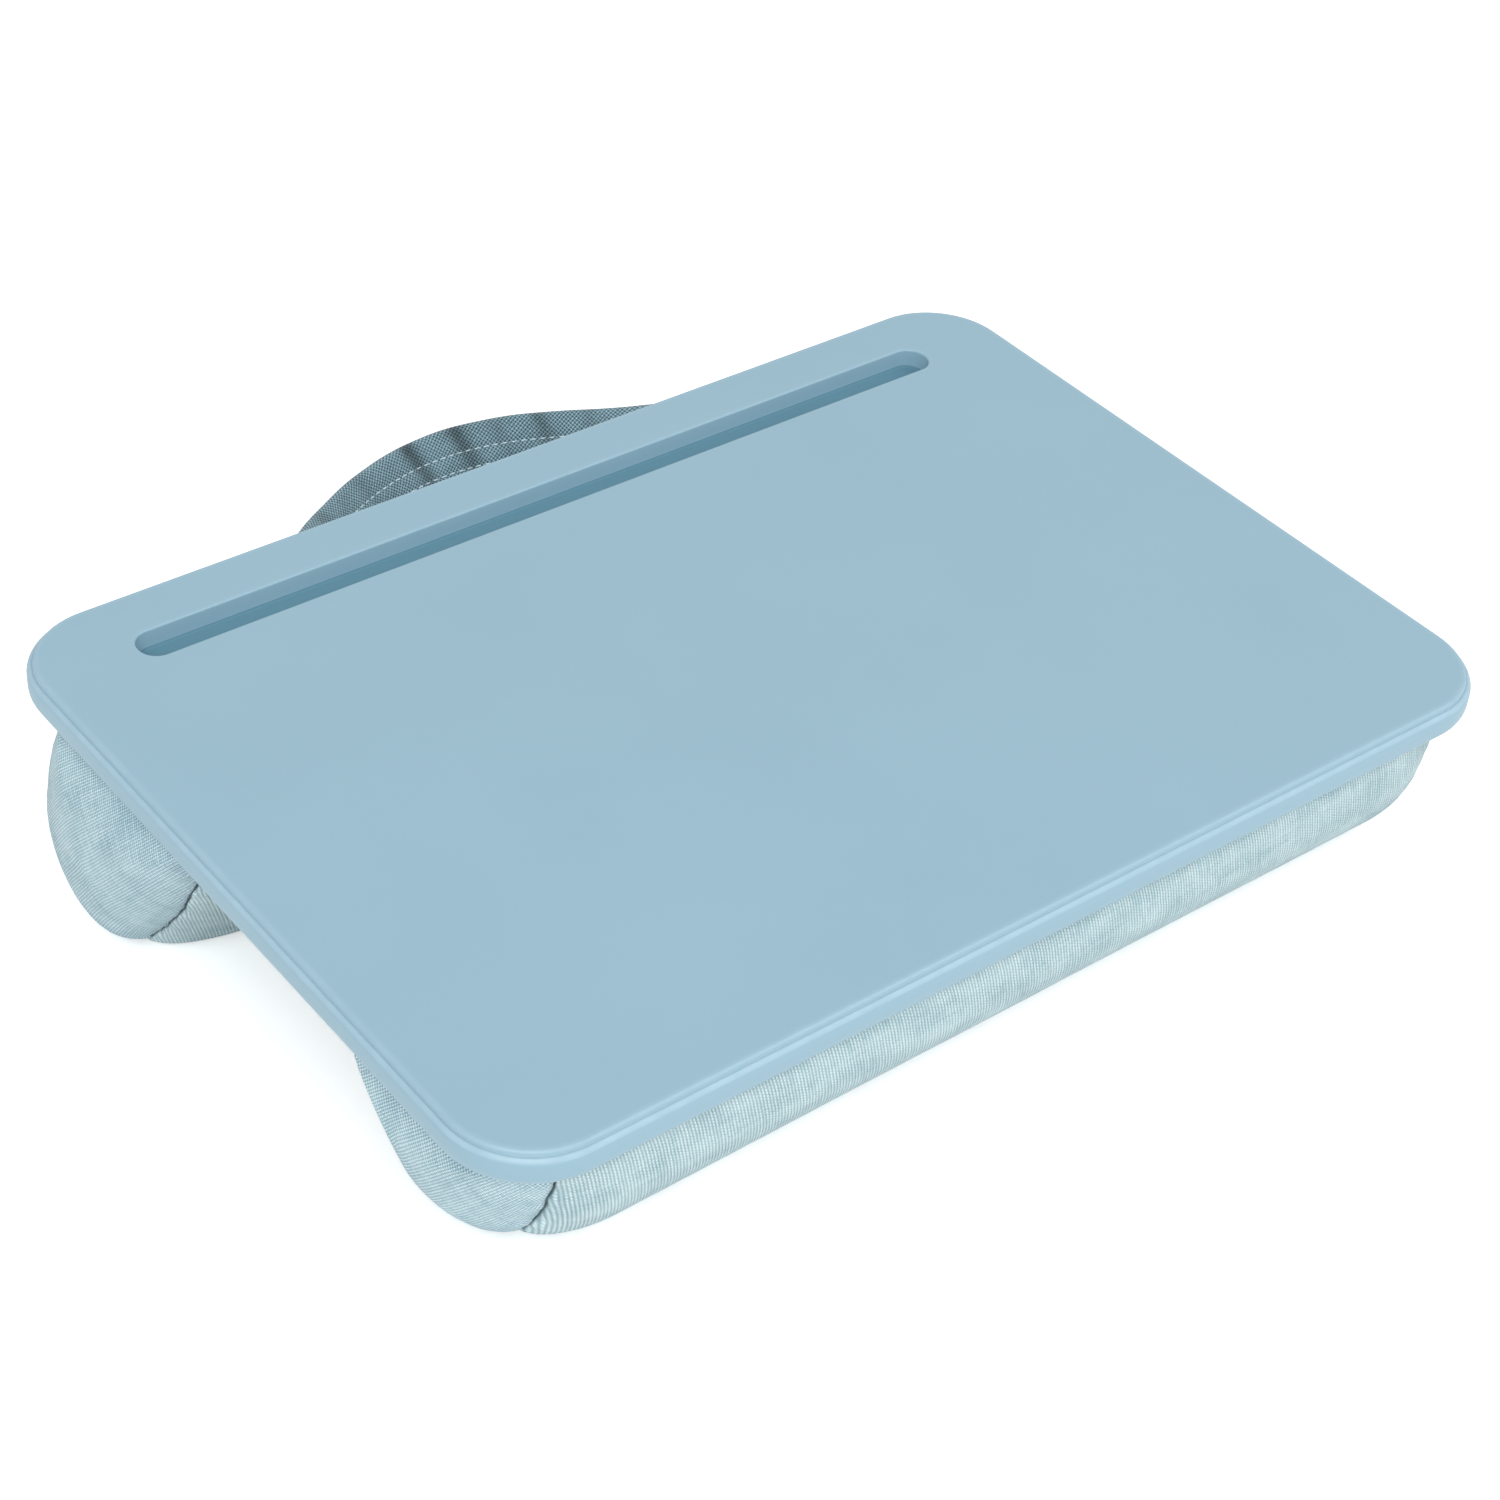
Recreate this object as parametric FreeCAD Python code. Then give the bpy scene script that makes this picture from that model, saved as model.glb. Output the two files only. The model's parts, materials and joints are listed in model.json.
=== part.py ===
import FreeCAD, Part
import math
import os

# Lap tray on a wedge cushion: a foil-wrapped fibreboard top with a long slot near its rear edge,
# two bead-filled bolsters underneath, and a strap handle behind the rear edge.
# Lengths are in millimetres. Each piece is made in the board's own frame, with the origin at the
# middle of the top face, +X along the width and +Y to the rear. At the end the whole tray is
# tilted to its working slope and set down on the floor.

# Board
board_width = 372.0
board_depth = 266.0
board_thick = 12.0
corner_radius = 28.0
top_panel_inset = 1.4
top_panel_rise = 1.3
top_edge_round = 1.1
shoulder_round = 1.1
lower_edge_round = 4.5
foil_thick = 0.4
backing_inset = 6.0

# Slot along the rear of the board
slot_end_gap = 33.5
slot_width = 13.0
slot_depth = 7.0
slot_rear_gap = 21.0
slot_end_round = 6.2
slot_lip_round = 1.0
slot_floor_round = 2.0

# Closing cloth over both bolsters
tray_slope = 8.7
cloth_thick = 0.8
cloth_hem = 3.0
cloth_end_inset = 6.0
cloth_corner_radius = 26.0

# Front bolster
front_edge_gap = 9.0
front_top_width = 88.0
front_drop = 42.0
front_nose_radius = 22.0
front_nose_gap = 5.6
front_end_gap = 4.0
front_end_run = 44.0
front_end_share = 0.55
front_seam_gap = 19.0

# Rear bolster
rear_edge_gap = 28.5
rear_top_width = 87.0
rear_nose_radius = 29.0
rear_nose_gap = 17.0
rear_end_gap = 1.0
rear_end_run = 24.0
rear_end_share = 0.8
rear_seam_gap = 13.0

# Both bolsters
slope_crown_share = 0.05
end_steps = 4
seat_flat = 0.5
cover_thick = 1.0
liner_thick = 0.6
liner_top_gap = 0.3

# Tack strips and staples
strip_width = 10.0
strip_thick = 1.5
strip_end_gap = 51.0
strip_edge_gap = 18.0
staple_crown = 10.0
staple_wire = 0.6
staple_bite = 4.0
staples_per_strip = 6

# Strap handle
strap_width = 28.0
strap_thick = 3.0
strap_core_width = 22.0
strap_core_thick = 1.4
strap_core_end_gap = 3.0
strap_root_x = 65.0
strap_reach = 37.0
strap_sag = 19.0
strap_lean = 45.0
strap_droop_power = 4
strap_steps = 12
fold_gap = 2.6
fold_merge = 1.0
fold_clearance = 0.3

# Strap tails and their fasteners
tail_length = 24.5
tail_screw_gap = 14.0
tail_screw_inset = 9.0
screw_shank = 3.2
screw_head = 6.6
screw_head_height = 2.2
screw_bite = 7.5
washer_width = 10.0
washer_thick = 0.8
hole_clearance = 0.2

# Overrun of every cut past the face it opens
overrun = 5.0

Vec = FreeCAD.Vector
origin = Vec(0, 0, 0)
x_axis = Vec(1, 0, 0)
slope = math.radians(tray_slope)
board_rear = board_depth / 2
board_front = -board_rear
underside = -board_thick
cushion_top = underside - cloth_thick
slot_middle = board_rear - slot_rear_gap - slot_width / 2
slot_length = board_width - 2 * slot_end_gap
front_length = board_width - 2 * front_end_gap
rear_length = board_width - 2 * rear_end_gap
strip_length = board_width - 2 * strip_end_gap


def rounded_plate(width, depth, radius, low, high, middle_y=0):
    """Flat plate with round corners, centred on X."""
    plate = Part.makeBox(width, depth, high - low, Vec(-width / 2, middle_y - depth / 2, low))
    uprights = [edge for edge in plate.Edges if edge.BoundBox.ZLength > plate.BoundBox.ZLength / 2]
    return plate.makeFillet(radius, uprights)


def edges_at(shape, level):
    """Edges that lie flat at one height."""
    tiny = foil_thick / 100
    return [edge for edge in shape.Edges
            if abs(edge.BoundBox.ZMin - level) < tiny and abs(edge.BoundBox.ZMax - level) < tiny]


def board_form(skin):
    """The board's outer form, or the same form one skin thickness further in."""
    width = board_width - 2 * skin
    depth = board_depth - 2 * skin
    radius = corner_radius - skin
    low = underside + skin
    shelf = -top_panel_rise - skin
    base = rounded_plate(width, depth, radius, low, shelf)
    base = base.makeFillet(lower_edge_round - skin, edges_at(base, low))
    base = base.makeFillet(shoulder_round - skin, edges_at(base, shelf))
    inset = top_panel_inset
    panel = rounded_plate(width - 2 * inset, depth - 2 * inset, radius - inset, underside / 2, -skin)
    panel = panel.makeFillet(top_edge_round - skin, edges_at(panel, -skin))
    trough_width = slot_width + 2 * skin
    trough_floor = -slot_depth - skin
    trough = rounded_plate(slot_length + 2 * skin, trough_width, slot_end_round + skin,
                           trough_floor, overrun, slot_middle)
    trough = trough.makeFillet(slot_floor_round + skin, edges_at(trough, trough_floor))
    body = base.fuse(panel).removeSplitter().cut(trough)
    lip = [edge for edge in edges_at(body, -skin)
           if abs(edge.BoundBox.Center.y - slot_middle) < slot_width
           and edge.BoundBox.YLength < 2 * slot_width]
    return body.makeFillet(slot_lip_round - skin, lip)


def backing_sheet():
    """Balance sheet on the flat of the underside."""
    return rounded_plate(board_width - 2 * backing_inset, board_depth - 2 * backing_inset,
                         corner_radius - backing_inset, underside, underside + foil_thick)


def closing_cloth():
    """Cloth that closes both bolsters and lies flat on the underside of the board."""
    front = board_front + front_edge_gap - cloth_hem
    rear = board_rear - rear_edge_gap + cloth_hem
    width = rear_length - 2 * cloth_end_inset
    return rounded_plate(width, rear - front, cloth_corner_radius, cushion_top, underside,
                         (front + rear) / 2)


# Nose of each bolster: a round roll that the tray stands on. Both rolls touch the same floor.
front_nose_y = board_front + front_nose_gap + front_nose_radius
front_nose_z = cushion_top - front_drop + front_nose_radius
floor_low = front_nose_y * math.sin(slope) + front_nose_z * math.cos(slope) - front_nose_radius
floor_level = floor_low + seat_flat
rear_nose_y = board_rear - rear_nose_gap - rear_nose_radius
rear_nose_z = (floor_low + rear_nose_radius - rear_nose_y * math.sin(slope)) / math.cos(slope)

front_bolster = {
    "front": board_front + front_edge_gap,
    "rear": board_front + front_edge_gap + front_top_width,
    "nose": (front_nose_y, front_nose_z),
    "radius": front_nose_radius,
    "half": front_length / 2,
    "run": front_end_run,
    "end_share": front_end_share,
    "seam": front_length / 2 - front_seam_gap,
}
rear_bolster = {
    "front": board_rear - rear_edge_gap - rear_top_width,
    "rear": board_rear - rear_edge_gap,
    "nose": (rear_nose_y, rear_nose_z),
    "radius": rear_nose_radius,
    "half": rear_length / 2,
    "run": rear_end_run,
    "end_share": rear_end_share,
    "seam": rear_length / 2 - rear_seam_gap,
}


def bolster_section(bolster, x, share, inset, rise):
    """Closed section across a bolster: flat top, two crowned slopes and the round nose between them."""
    nose_y, nose_z = bolster["nose"]
    radius = bolster["radius"] - inset
    middle = (bolster["front"] + bolster["rear"]) / 2
    top = cushion_top + rise

    def place(y, z):
        return Vec(x, middle + share * (y - middle), cushion_top + share * (z - cushion_top))

    def tangent(corner_y, side):
        across = corner_y - nose_y
        up = top - nose_z
        return math.atan2(up, across) + side * math.acos(radius / math.hypot(across, up))

    def on_nose(angle):
        return nose_y + radius * math.cos(angle), nose_z + radius * math.sin(angle)

    def crowned(start, end):
        across = end[0] - start[0]
        up = end[1] - start[1]
        bulge_y = (start[0] + end[0]) / 2 + slope_crown_share * up
        bulge_z = (start[1] + end[1]) / 2 - slope_crown_share * across
        return Part.Arc(place(*start), place(bulge_y, bulge_z), place(*end)).toShape()

    front_top = (bolster["front"] + inset, top)
    rear_top = (bolster["rear"] - inset, top)
    front_angle = tangent(front_top[0], 1)
    rear_angle = tangent(rear_top[0], -1) + 2 * math.pi
    nose_start = on_nose(front_angle)
    nose_low = on_nose((front_angle + rear_angle) / 2)
    nose_end = on_nose(rear_angle)
    return Part.Wire([
        Part.LineSegment(place(*rear_top), place(*front_top)).toShape(),
        crowned(front_top, nose_start),
        Part.Arc(place(*nose_start), place(*nose_low), place(*nose_end)).toShape(),
        crowned(nose_end, rear_top),
    ])


def below(shape, level):
    """The part of a shape under one height in the board's frame."""
    side = 2 * board_width
    lid = Part.makeBox(side, side, side, Vec(-side / 2, -side / 2, level))
    return shape.cut(lid)


def above_floor(shape, lift):
    """A shape cut flat at the floor, or at a plane some way above it."""
    side = 2 * board_width
    ground = Part.makeBox(side, side, side, Vec(-side / 2, -side / 2, floor_level + lift - side))
    ground.rotate(origin, x_axis, -tray_slope)
    return shape.cut(ground)


def bolster_form(bolster, inset, rise):
    """Whole form of a bolster: a straight roll with rounded, smaller ends."""
    half = bolster["half"] - inset
    sections = []
    for step in range(end_steps + 1):
        turn = math.pi / 2 * step / end_steps
        x = -half + bolster["run"] * (1 - math.cos(turn))
        share = bolster["end_share"] + (1 - bolster["end_share"]) * math.sin(turn)
        sections.append(bolster_section(bolster, x, share, inset, rise))
    left = Part.makeLoft(sections, True, False)
    right = left.mirror(origin, x_axis)
    straight = 2 * (half - bolster["run"])
    middle = Part.Face(sections[-1]).extrude(x_axis * straight)
    form = left.fuse([middle, right]).removeSplitter()
    return above_floor(form, inset)


def bolster_pieces(name, bolster, strips_low):
    """Cover panels, bead liner and bead fill of one bolster."""
    side = 2 * board_width
    outer = bolster_form(bolster, 0, 0)
    cavity = bolster_form(bolster, cover_thick, overrun)
    bag = bolster_form(bolster, cover_thick + liner_thick, overrun)
    cover = outer.cut(cavity)
    left_of_seam = Part.makeBox(side, side, side, Vec(-bolster["seam"] - side, -side / 2, -side / 2))
    right_of_seam = left_of_seam.mirror(origin, x_axis)
    liner_top = strips_low - liner_top_gap
    fill = below(bag, liner_top - liner_thick)
    return {
        name + "_cover_main_panel": cover.cut([left_of_seam, right_of_seam]),
        name + "_cover_left_end": cover.common(left_of_seam),
        name + "_cover_right_end": cover.common(right_of_seam),
        name + "_bead_liner": below(cavity, liner_top).cut(fill),
        name + "_bead_fill": fill,
    }


def tack_strip(middle_y):
    """Stiff fibre strip that spreads the hold of the staples over the cloth."""
    return Part.makeBox(strip_length, strip_width, strip_thick,
                        Vec(-strip_length / 2, middle_y - strip_width / 2, cushion_top - strip_thick))


def staple(x, y):
    """Wire staple with its crown under the strip and its legs up into the board."""
    crown_low = cushion_top - strip_thick - staple_wire
    leg_height = underside + staple_bite - crown_low
    crown = Part.makeBox(staple_crown, staple_wire, staple_wire,
                         Vec(x - staple_crown / 2, y - staple_wire / 2, crown_low))
    leg = Part.makeBox(staple_wire, staple_wire, leg_height,
                       Vec(x - staple_crown / 2, y - staple_wire / 2, crown_low))
    far_leg = leg.translated(x_axis * (staple_crown - staple_wire))
    return crown.fuse([leg, far_leg]).removeSplitter()


strip_places = {
    "front_edge_tack_strip": front_bolster["front"] + strip_edge_gap + strip_width / 2,
    "front_valley_tack_strip": front_bolster["rear"] - strip_edge_gap - strip_width / 2,
    "rear_valley_tack_strip": rear_bolster["front"] + strip_edge_gap + strip_width / 2,
    "rear_edge_tack_strip": rear_bolster["rear"] - strip_edge_gap - strip_width / 2,
}
staple_row = [strip_length / 2 * ((2 * index + 1) / staples_per_strip - 1)
              for index in range(staples_per_strip)]

# Fold line of the handle: a line along X just behind the rear edge, under the board.
fold_y = board_rear + fold_gap
fold_z = underside - strap_thick / 2
strap_radius = (strap_root_x ** 2 + strap_reach ** 2) / (2 * strap_reach)
strap_centre_y = fold_y + strap_reach - strap_radius
strap_root_angle = math.asin(strap_root_x / strap_radius)


def strap_droop(angle):
    """How far the strap has come from the flat fold, 0, to the top of its arch, 1."""
    return 1 - min(abs(angle) / strap_root_angle, 1) ** strap_droop_power


def strap_middle(angle):
    """Middle of the strap at one place round its arch."""
    reach = strap_radius * Vec(math.sin(angle), math.cos(angle), 0)
    return reach + Vec(0, strap_centre_y, fold_z - strap_sag * strap_droop(angle))


def strap_corners(angle, width, thick):
    """Four corners of the strap's section, square to its run, at one place round its arch."""
    nudge = strap_root_angle / strap_steps / 10
    run = (strap_middle(angle + nudge) - strap_middle(angle - nudge)).normalize()
    outward = Vec(math.sin(angle), math.cos(angle), 0)
    outward = (outward - run * outward.dot(run)).normalize()
    upward = run.cross(outward)
    lean = math.radians(strap_lean) * strap_droop(angle)
    wide = outward * math.cos(lean) + upward * math.sin(lean)
    flat = upward * math.cos(lean) - outward * math.sin(lean)
    return [strap_middle(angle) + wide * (across * width / 2) + flat * (up * thick / 2)
            for across, up in ((1, 1), (1, -1), (-1, -1), (-1, 1))]


def strap_band(width, thick, start_y):
    """Arched band that lies flat at the fold line and leans back at the top of its arch."""
    reach_angle = strap_root_angle + math.asin(strap_width / strap_radius)
    sections = []
    for step in range(strap_steps + 1):
        angle = reach_angle * (2 * step / strap_steps - 1)
        corners = strap_corners(angle, width, thick)
        sections.append(Part.makePolygon(corners + corners[:1]))
    band = Part.makeLoft(sections, True, False)
    side = 2 * board_width
    ahead = Part.makeBox(side, side, side, Vec(-side / 2, start_y - side, -side / 2))
    return band.cut(ahead)


# Each root of the strap meets the fold line between these two places along X.
fold_ahead = fold_y - strap_centre_y
root_near = math.sqrt((strap_radius - strap_width / 2) ** 2 - fold_ahead ** 2)
root_far = math.sqrt((strap_radius + strap_width / 2) ** 2 - fold_ahead ** 2)
root_length = root_far - root_near


def handle_pieces():
    """Swinging strap with its webbing core, and the round fold at each root."""
    core = strap_band(strap_core_width, strap_core_thick, fold_y + strap_core_end_gap)
    band = strap_band(strap_width, strap_thick, fold_y + fold_merge)
    fold = Part.makeCylinder(strap_thick / 2, root_length, Vec(root_near, fold_y, fold_z), x_axis)
    other_fold = fold.mirror(origin, x_axis)
    strap = band.fuse([fold, other_fold]).cut(core)
    return {"handle_strap": strap, "handle_webbing_core": core}


# Flat tail of the strap under the board, on the right-hand side.
tail_rear = fold_y - strap_thick / 2 - fold_clearance
tail_front = tail_rear - tail_length
tail_low = underside - strap_thick
tail_middle_x = root_near + root_length / 2


def handle_tail(holes):
    """Flat end of the strap under the board, drilled for its screws."""
    tail = Part.makeBox(root_length, tail_length, strap_thick, Vec(root_near, tail_front, tail_low))
    return tail.cut(holes)


def tail_fastener(x):
    """Pan-head screw, its washer, and the clearance hole through washer and tail."""
    y = tail_front + tail_screw_inset
    washer_low = tail_low - washer_thick
    head_low = washer_low - screw_head_height
    seat = Vec(x, y, washer_low)
    shank = Part.makeCylinder(screw_shank / 2, underside + screw_bite - washer_low, seat)
    head = Part.makeCylinder(screw_head / 2, screw_head_height, Vec(x, y, head_low))
    head = head.makeFillet(screw_head_height / 2, edges_at(head, head_low))
    hole = Part.makeCylinder(screw_shank / 2 + hole_clearance, underside - washer_low, seat)
    washer = Part.makeCylinder(washer_width / 2, washer_thick, seat).cut(hole)
    return shank.fuse(head).removeSplitter(), washer, hole


def both_sides(shapes):
    """A list of shapes with their mirror images on the other side."""
    return shapes + [shape.mirror(origin, x_axis) for shape in shapes]


def tray_pieces():
    """Every piece of the tray in the board's frame, by name."""
    strips = {name: tack_strip(y) for name, y in strip_places.items()}
    staples = [staple(x, y) for y in strip_places.values() for x in staple_row]
    half_gap = tail_screw_gap / 2
    fasteners = [tail_fastener(tail_middle_x - half_gap), tail_fastener(tail_middle_x + half_gap)]
    screws = both_sides([screw for screw, washer, hole in fasteners])
    washers = both_sides([washer for screw, washer, hole in fasteners])
    right_tail = handle_tail([hole for screw, washer, hole in fasteners])
    core = board_form(foil_thick)
    backing = backing_sheet()
    foil = board_form(0).cut([core, backing])
    pieces = {
        "board_core": core.cut(staples + screws),
        "board_foil_wrap": foil,
        "board_backing_sheet": backing.cut(staples + screws),
        "cushion_closing_cloth": closing_cloth().cut(staples),
        "cushion_staples": Part.makeCompound(staples),
        "handle_left_tail": right_tail.mirror(origin, x_axis),
        "handle_right_tail": right_tail,
        "handle_screws": Part.makeCompound(screws),
        "handle_washers": Part.makeCompound(washers),
    }
    pieces.update({name: strip.cut(staples) for name, strip in strips.items()})
    strips_low = cushion_top - strip_thick - staple_wire
    pieces.update(bolster_pieces("front_bolster", front_bolster, strips_low))
    pieces.update(bolster_pieces("rear_bolster", rear_bolster, strips_low))
    pieces.update(handle_pieces())
    return pieces


# Middle of the tray from front edge to the top of the handle's arch, on the floor.
shoulder_z = -top_panel_rise - shoulder_round
front_reach = board_front * math.cos(slope) - shoulder_z * math.sin(slope)
rear_reach = max(corner.y * math.cos(slope) - corner.z * math.sin(slope)
                 for corner in strap_corners(0, strap_width, strap_thick))
floor_middle = Vec(0, (front_reach + rear_reach) / 2, floor_level)


def set_down(shape):
    """Tilt a shape to the working slope and set it on the floor, centred under the tray."""
    placed = shape.copy()
    placed.rotate(origin, x_axis, tray_slope)
    placed.translate(-floor_middle)
    return placed


os.makedirs("parts", exist_ok=True)
for name, piece in tray_pieces().items():
    placed = set_down(piece)
    placed.exportStep("parts/" + name + ".step")
    print(name, "solids", len(placed.Solids), "valid", placed.isValid(), "volume", round(placed.Volume, 1))


def show(label, y, z):
    """Print a place of the board's frame where it ends up on the floor."""
    spot = FreeCAD.Rotation(x_axis, tray_slope).multVec(Vec(0, y, z)) - floor_middle
    print(label, round(spot.y, 3), round(spot.z, 3))


show("fold line", fold_y, fold_z)
show("top face middle", 0, 0)
show("slot middle", slot_middle, -slot_depth / 2)
show("front rest", front_nose_y, front_nose_z)
show("rear rest", rear_nose_y, rear_nose_z)
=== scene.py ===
import bmesh
import bpy
import json
import math
import numpy as np
from mathutils import Matrix, Vector


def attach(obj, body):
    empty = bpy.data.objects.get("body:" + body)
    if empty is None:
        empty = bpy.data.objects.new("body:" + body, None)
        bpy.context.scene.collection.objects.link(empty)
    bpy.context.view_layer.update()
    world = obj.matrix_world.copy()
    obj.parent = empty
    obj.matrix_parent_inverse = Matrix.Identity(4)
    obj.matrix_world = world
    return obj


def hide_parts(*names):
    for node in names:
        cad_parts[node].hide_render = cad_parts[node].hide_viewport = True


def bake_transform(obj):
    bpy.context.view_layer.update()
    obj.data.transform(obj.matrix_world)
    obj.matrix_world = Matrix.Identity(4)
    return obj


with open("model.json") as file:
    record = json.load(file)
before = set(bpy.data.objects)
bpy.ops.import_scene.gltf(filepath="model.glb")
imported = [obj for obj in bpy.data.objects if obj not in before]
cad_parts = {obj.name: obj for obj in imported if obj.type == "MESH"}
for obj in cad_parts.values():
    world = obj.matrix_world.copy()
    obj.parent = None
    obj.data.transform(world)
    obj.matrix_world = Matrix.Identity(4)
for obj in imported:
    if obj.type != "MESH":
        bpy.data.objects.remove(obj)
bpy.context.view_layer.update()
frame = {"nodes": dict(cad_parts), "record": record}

# Board place: the middle of the tray's top face and its working slope, as the frame gives them.
# Each piece is made flat in the board's own frame, +X along the width, +Y to the rear and +Z out of
# the top face, in metres, and then laid on this slope.
top_face = next(mount for mount in frame["record"]["mounts"] if mount["name"] == "work_surface")
board_slope = math.atan2(-top_face["axis"][1], top_face["axis"][2])
board_place = Matrix.Translation(top_face["pos_m"]) @ Matrix.Rotation(board_slope, 4, "X")


# Board core: the flat plate that carries everything, with a trough milled near its rear edge. A low
# panel stands out of its top, so two rounded edges run round it, one above the other.
# It is medium-density fibreboard, pressed from fine wood fibre, sanded, and hidden by its foil.
board_width = 0.372
board_depth = 0.266
board_thick = 0.012
corner_radius = 0.028
panel_inset = 0.00195
panel_round = 0.001
shoulder_round = 0.0026
shoulder_top = -0.00155
shoulder_turn = 65.0
groove_inset = 0.00175
groove_low = -0.00175
lower_round = 0.0045
trough_length = 0.305
trough_width = 0.013
trough_depth = 0.007
trough_rear_gap = 0.021
trough_end_round = 0.0062
trough_lip = 0.0007
trough_foot = 0.0009
edge_flat = 0.0012
foot_flat = 0.006
round_steps = 6
corner_steps = 16
core_skin = 0.00045
# Shares of the edge lightening, stretched pale foil with a painted highlight, on the panel and the trough
# lip.
panel_pale_highlight = 0.5
trough_lip_pale_highlight = 0.15
fibre_light = (0.50, 0.36, 0.23, 1.0)
fibre_dark = (0.30, 0.20, 0.12, 1.0)
fibre_grain = 900.0
fibre_detail = 6.0
fibre_stretch = (1.0, 0.3, 1.0)
fibre_band = (0.35, 0.65)
fibre_relief = 0.0002
fibre_rough = 0.9


def rounded_loop(half_width, half_depth, radius, height, middle_y=0.0):
    """Points round a level rectangle with round corners, anticlockwise seen from above."""
    points = []
    for quarter, (side_x, side_y) in enumerate(((1, 1), (-1, 1), (-1, -1), (1, -1))):
        for step in range(corner_steps + 1):
            turn = math.pi / 2 * (quarter + step / corner_steps)
            points.append((side_x * (half_width - radius) + radius * math.cos(turn),
                           middle_y + side_y * (half_depth - radius) + radius * math.sin(turn), height))
    return points


def quarter_round(inset, height, radius, start, end):
    """Inset and height of points round an arc about one centre, by angle from level outwards."""
    turns = [math.radians(start + (end - start) * step / round_steps) for step in range(round_steps + 1)]
    return [(inset - radius * math.cos(turn), height + radius * math.sin(turn)) for turn in turns]


def stack_loops(shell, loops):
    """Rows of faces from each loop of points to the next."""
    rings = [[shell.verts.new(point) for point in loop] for loop in loops]
    for ring, following in zip(rings, rings[1:]):
        for index in range(len(ring)):
            shell.faces.new((ring[index - 1], ring[index], following[index], following[index - 1]))
    return rings


def ring_edges(shell, ring):
    """The edges round one ring of points."""
    return [shell.edges.get((ring[index - 1], ring[index])) for index in range(len(ring))]


def board_mesh(name, skin, closed):
    """The board's outer form, or the same form a skin further in: edge, top with its trough, and foot.
    Its edges carry an attribute for foil stretched pale and a painted highlight, and the floor of its
    trough and the foot of its walls carry one for painted shade."""
    panel_edge = panel_inset + panel_round
    shoulder_middle = shoulder_top - shoulder_round * math.sin(math.radians(shoulder_turn))
    profile = [(foot_flat, skin - board_thick)]
    profile += quarter_round(lower_round, lower_round - board_thick, lower_round - skin, -90, 0)
    shoulder_start = len(profile)
    profile += quarter_round(shoulder_round, shoulder_middle, shoulder_round - skin, 0, shoulder_turn)
    profile += [(groove_inset + skin, groove_low - skin)]
    panel_start = len(profile)
    profile += quarter_round(panel_edge, -panel_round, panel_round - skin, 0, 90)
    profile += [(panel_edge + edge_flat, -skin)]
    outer = [rounded_loop(board_width / 2 - inset, board_depth / 2 - inset, corner_radius - inset, height)
             for inset, height in profile]
    lip = trough_lip - skin
    foot = trough_foot + skin
    quarter = np.linspace(0, math.pi / 2, round_steps)
    walls = [(-trough_lip - edge_flat, -skin)]
    walls += [(lip * math.sin(turn) - trough_lip, lip * math.cos(turn) - trough_lip) for turn in quarter]
    walls += [(trough_foot - foot * math.cos(turn), trough_foot - foot * math.sin(turn) - trough_depth)
              for turn in quarter]
    walls += [(trough_foot + edge_flat, -trough_depth - skin)]
    trough_y = board_depth / 2 - trough_rear_gap - trough_width / 2
    inner = [rounded_loop(trough_length / 2 - inset, trough_width / 2 - inset, trough_end_round - inset,
                          height, trough_y) for inset, height in walls]
    shell = bmesh.new()
    pale_and_highlight = shell.verts.layers.float.new("edge_wear")
    trough_shade = shell.verts.layers.float.new("trough_dust")
    outer_rings = stack_loops(shell, outer)
    inner_rings = stack_loops(shell, inner)
    rim = ring_edges(shell, outer_rings[-1]) + ring_edges(shell, inner_rings[0])
    made = bmesh.ops.triangle_fill(shell, use_beauty=True, edges=rim)
    for face in [face for face in made["geom"] if isinstance(face, bmesh.types.BMFace)]:
        if face.normal.z < 0:
            face.normal_flip()
    shell.faces.new(inner_rings[-1])
    if closed:
        shell.faces.new(reversed(outer_rings[0]))
    shoulder = outer_rings[shoulder_start + round_steps // 2:shoulder_start + round_steps + 1]
    panel = outer_rings[panel_start + 1:panel_start + round_steps + 1]
    # Edges: foil stretched pale and a painted highlight.
    for rings, share in ((shoulder, 1.0), (panel, panel_pale_highlight), (inner_rings[1:round_steps], trough_lip_pale_highlight)):
        for vertex in sum(rings, []):
            vertex[pale_and_highlight] = share
    # Painted shade on the trough's floor and the foot of its walls.
    for vertex in sum(inner_rings[-round_steps:], []):
        vertex[trough_shade] = 1.0
    mesh = bpy.data.meshes.new(name)
    shell.to_mesh(mesh)
    shell.free()
    return mesh


def new_object(name, data):
    """An object in the scene for a mesh, a lamp or a camera."""
    thing = bpy.data.objects.new(name, data)
    bpy.context.scene.collection.objects.link(thing)
    return thing


def lay_on_board(name, mesh, material, smooth=True):
    """An object for a mesh that was made in the board's frame."""
    mesh.transform(board_place)
    mesh.materials.clear()
    mesh.materials.append(material)
    mesh.polygons.foreach_set("use_smooth", [smooth] * len(mesh.polygons))
    return new_object(name, mesh)


def put(tree, kind, inputs=None, **settings):
    """A new node with its settings, and with its inputs set or linked by name or number."""
    node = tree.nodes.new(kind)
    for name, value in settings.items():
        setattr(node, name, value)
    for key, value in (inputs or {}).items():
        if isinstance(value, bpy.types.NodeSocket):
            tree.links.new(value, node.inputs[key])
        else:
            node.inputs[key].default_value = value
    return node


def new_finish(name, **sockets):
    """A material, its node tree and its shader, with constants set on the shader's own sockets."""
    material = bpy.data.materials.new(name)
    material.use_nodes = True
    shader = material.node_tree.nodes["Principled BSDF"]
    for socket, value in sockets.items():
        shader.inputs[socket.replace("_", " ")].default_value = value
    return material, material.node_tree, shader


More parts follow.
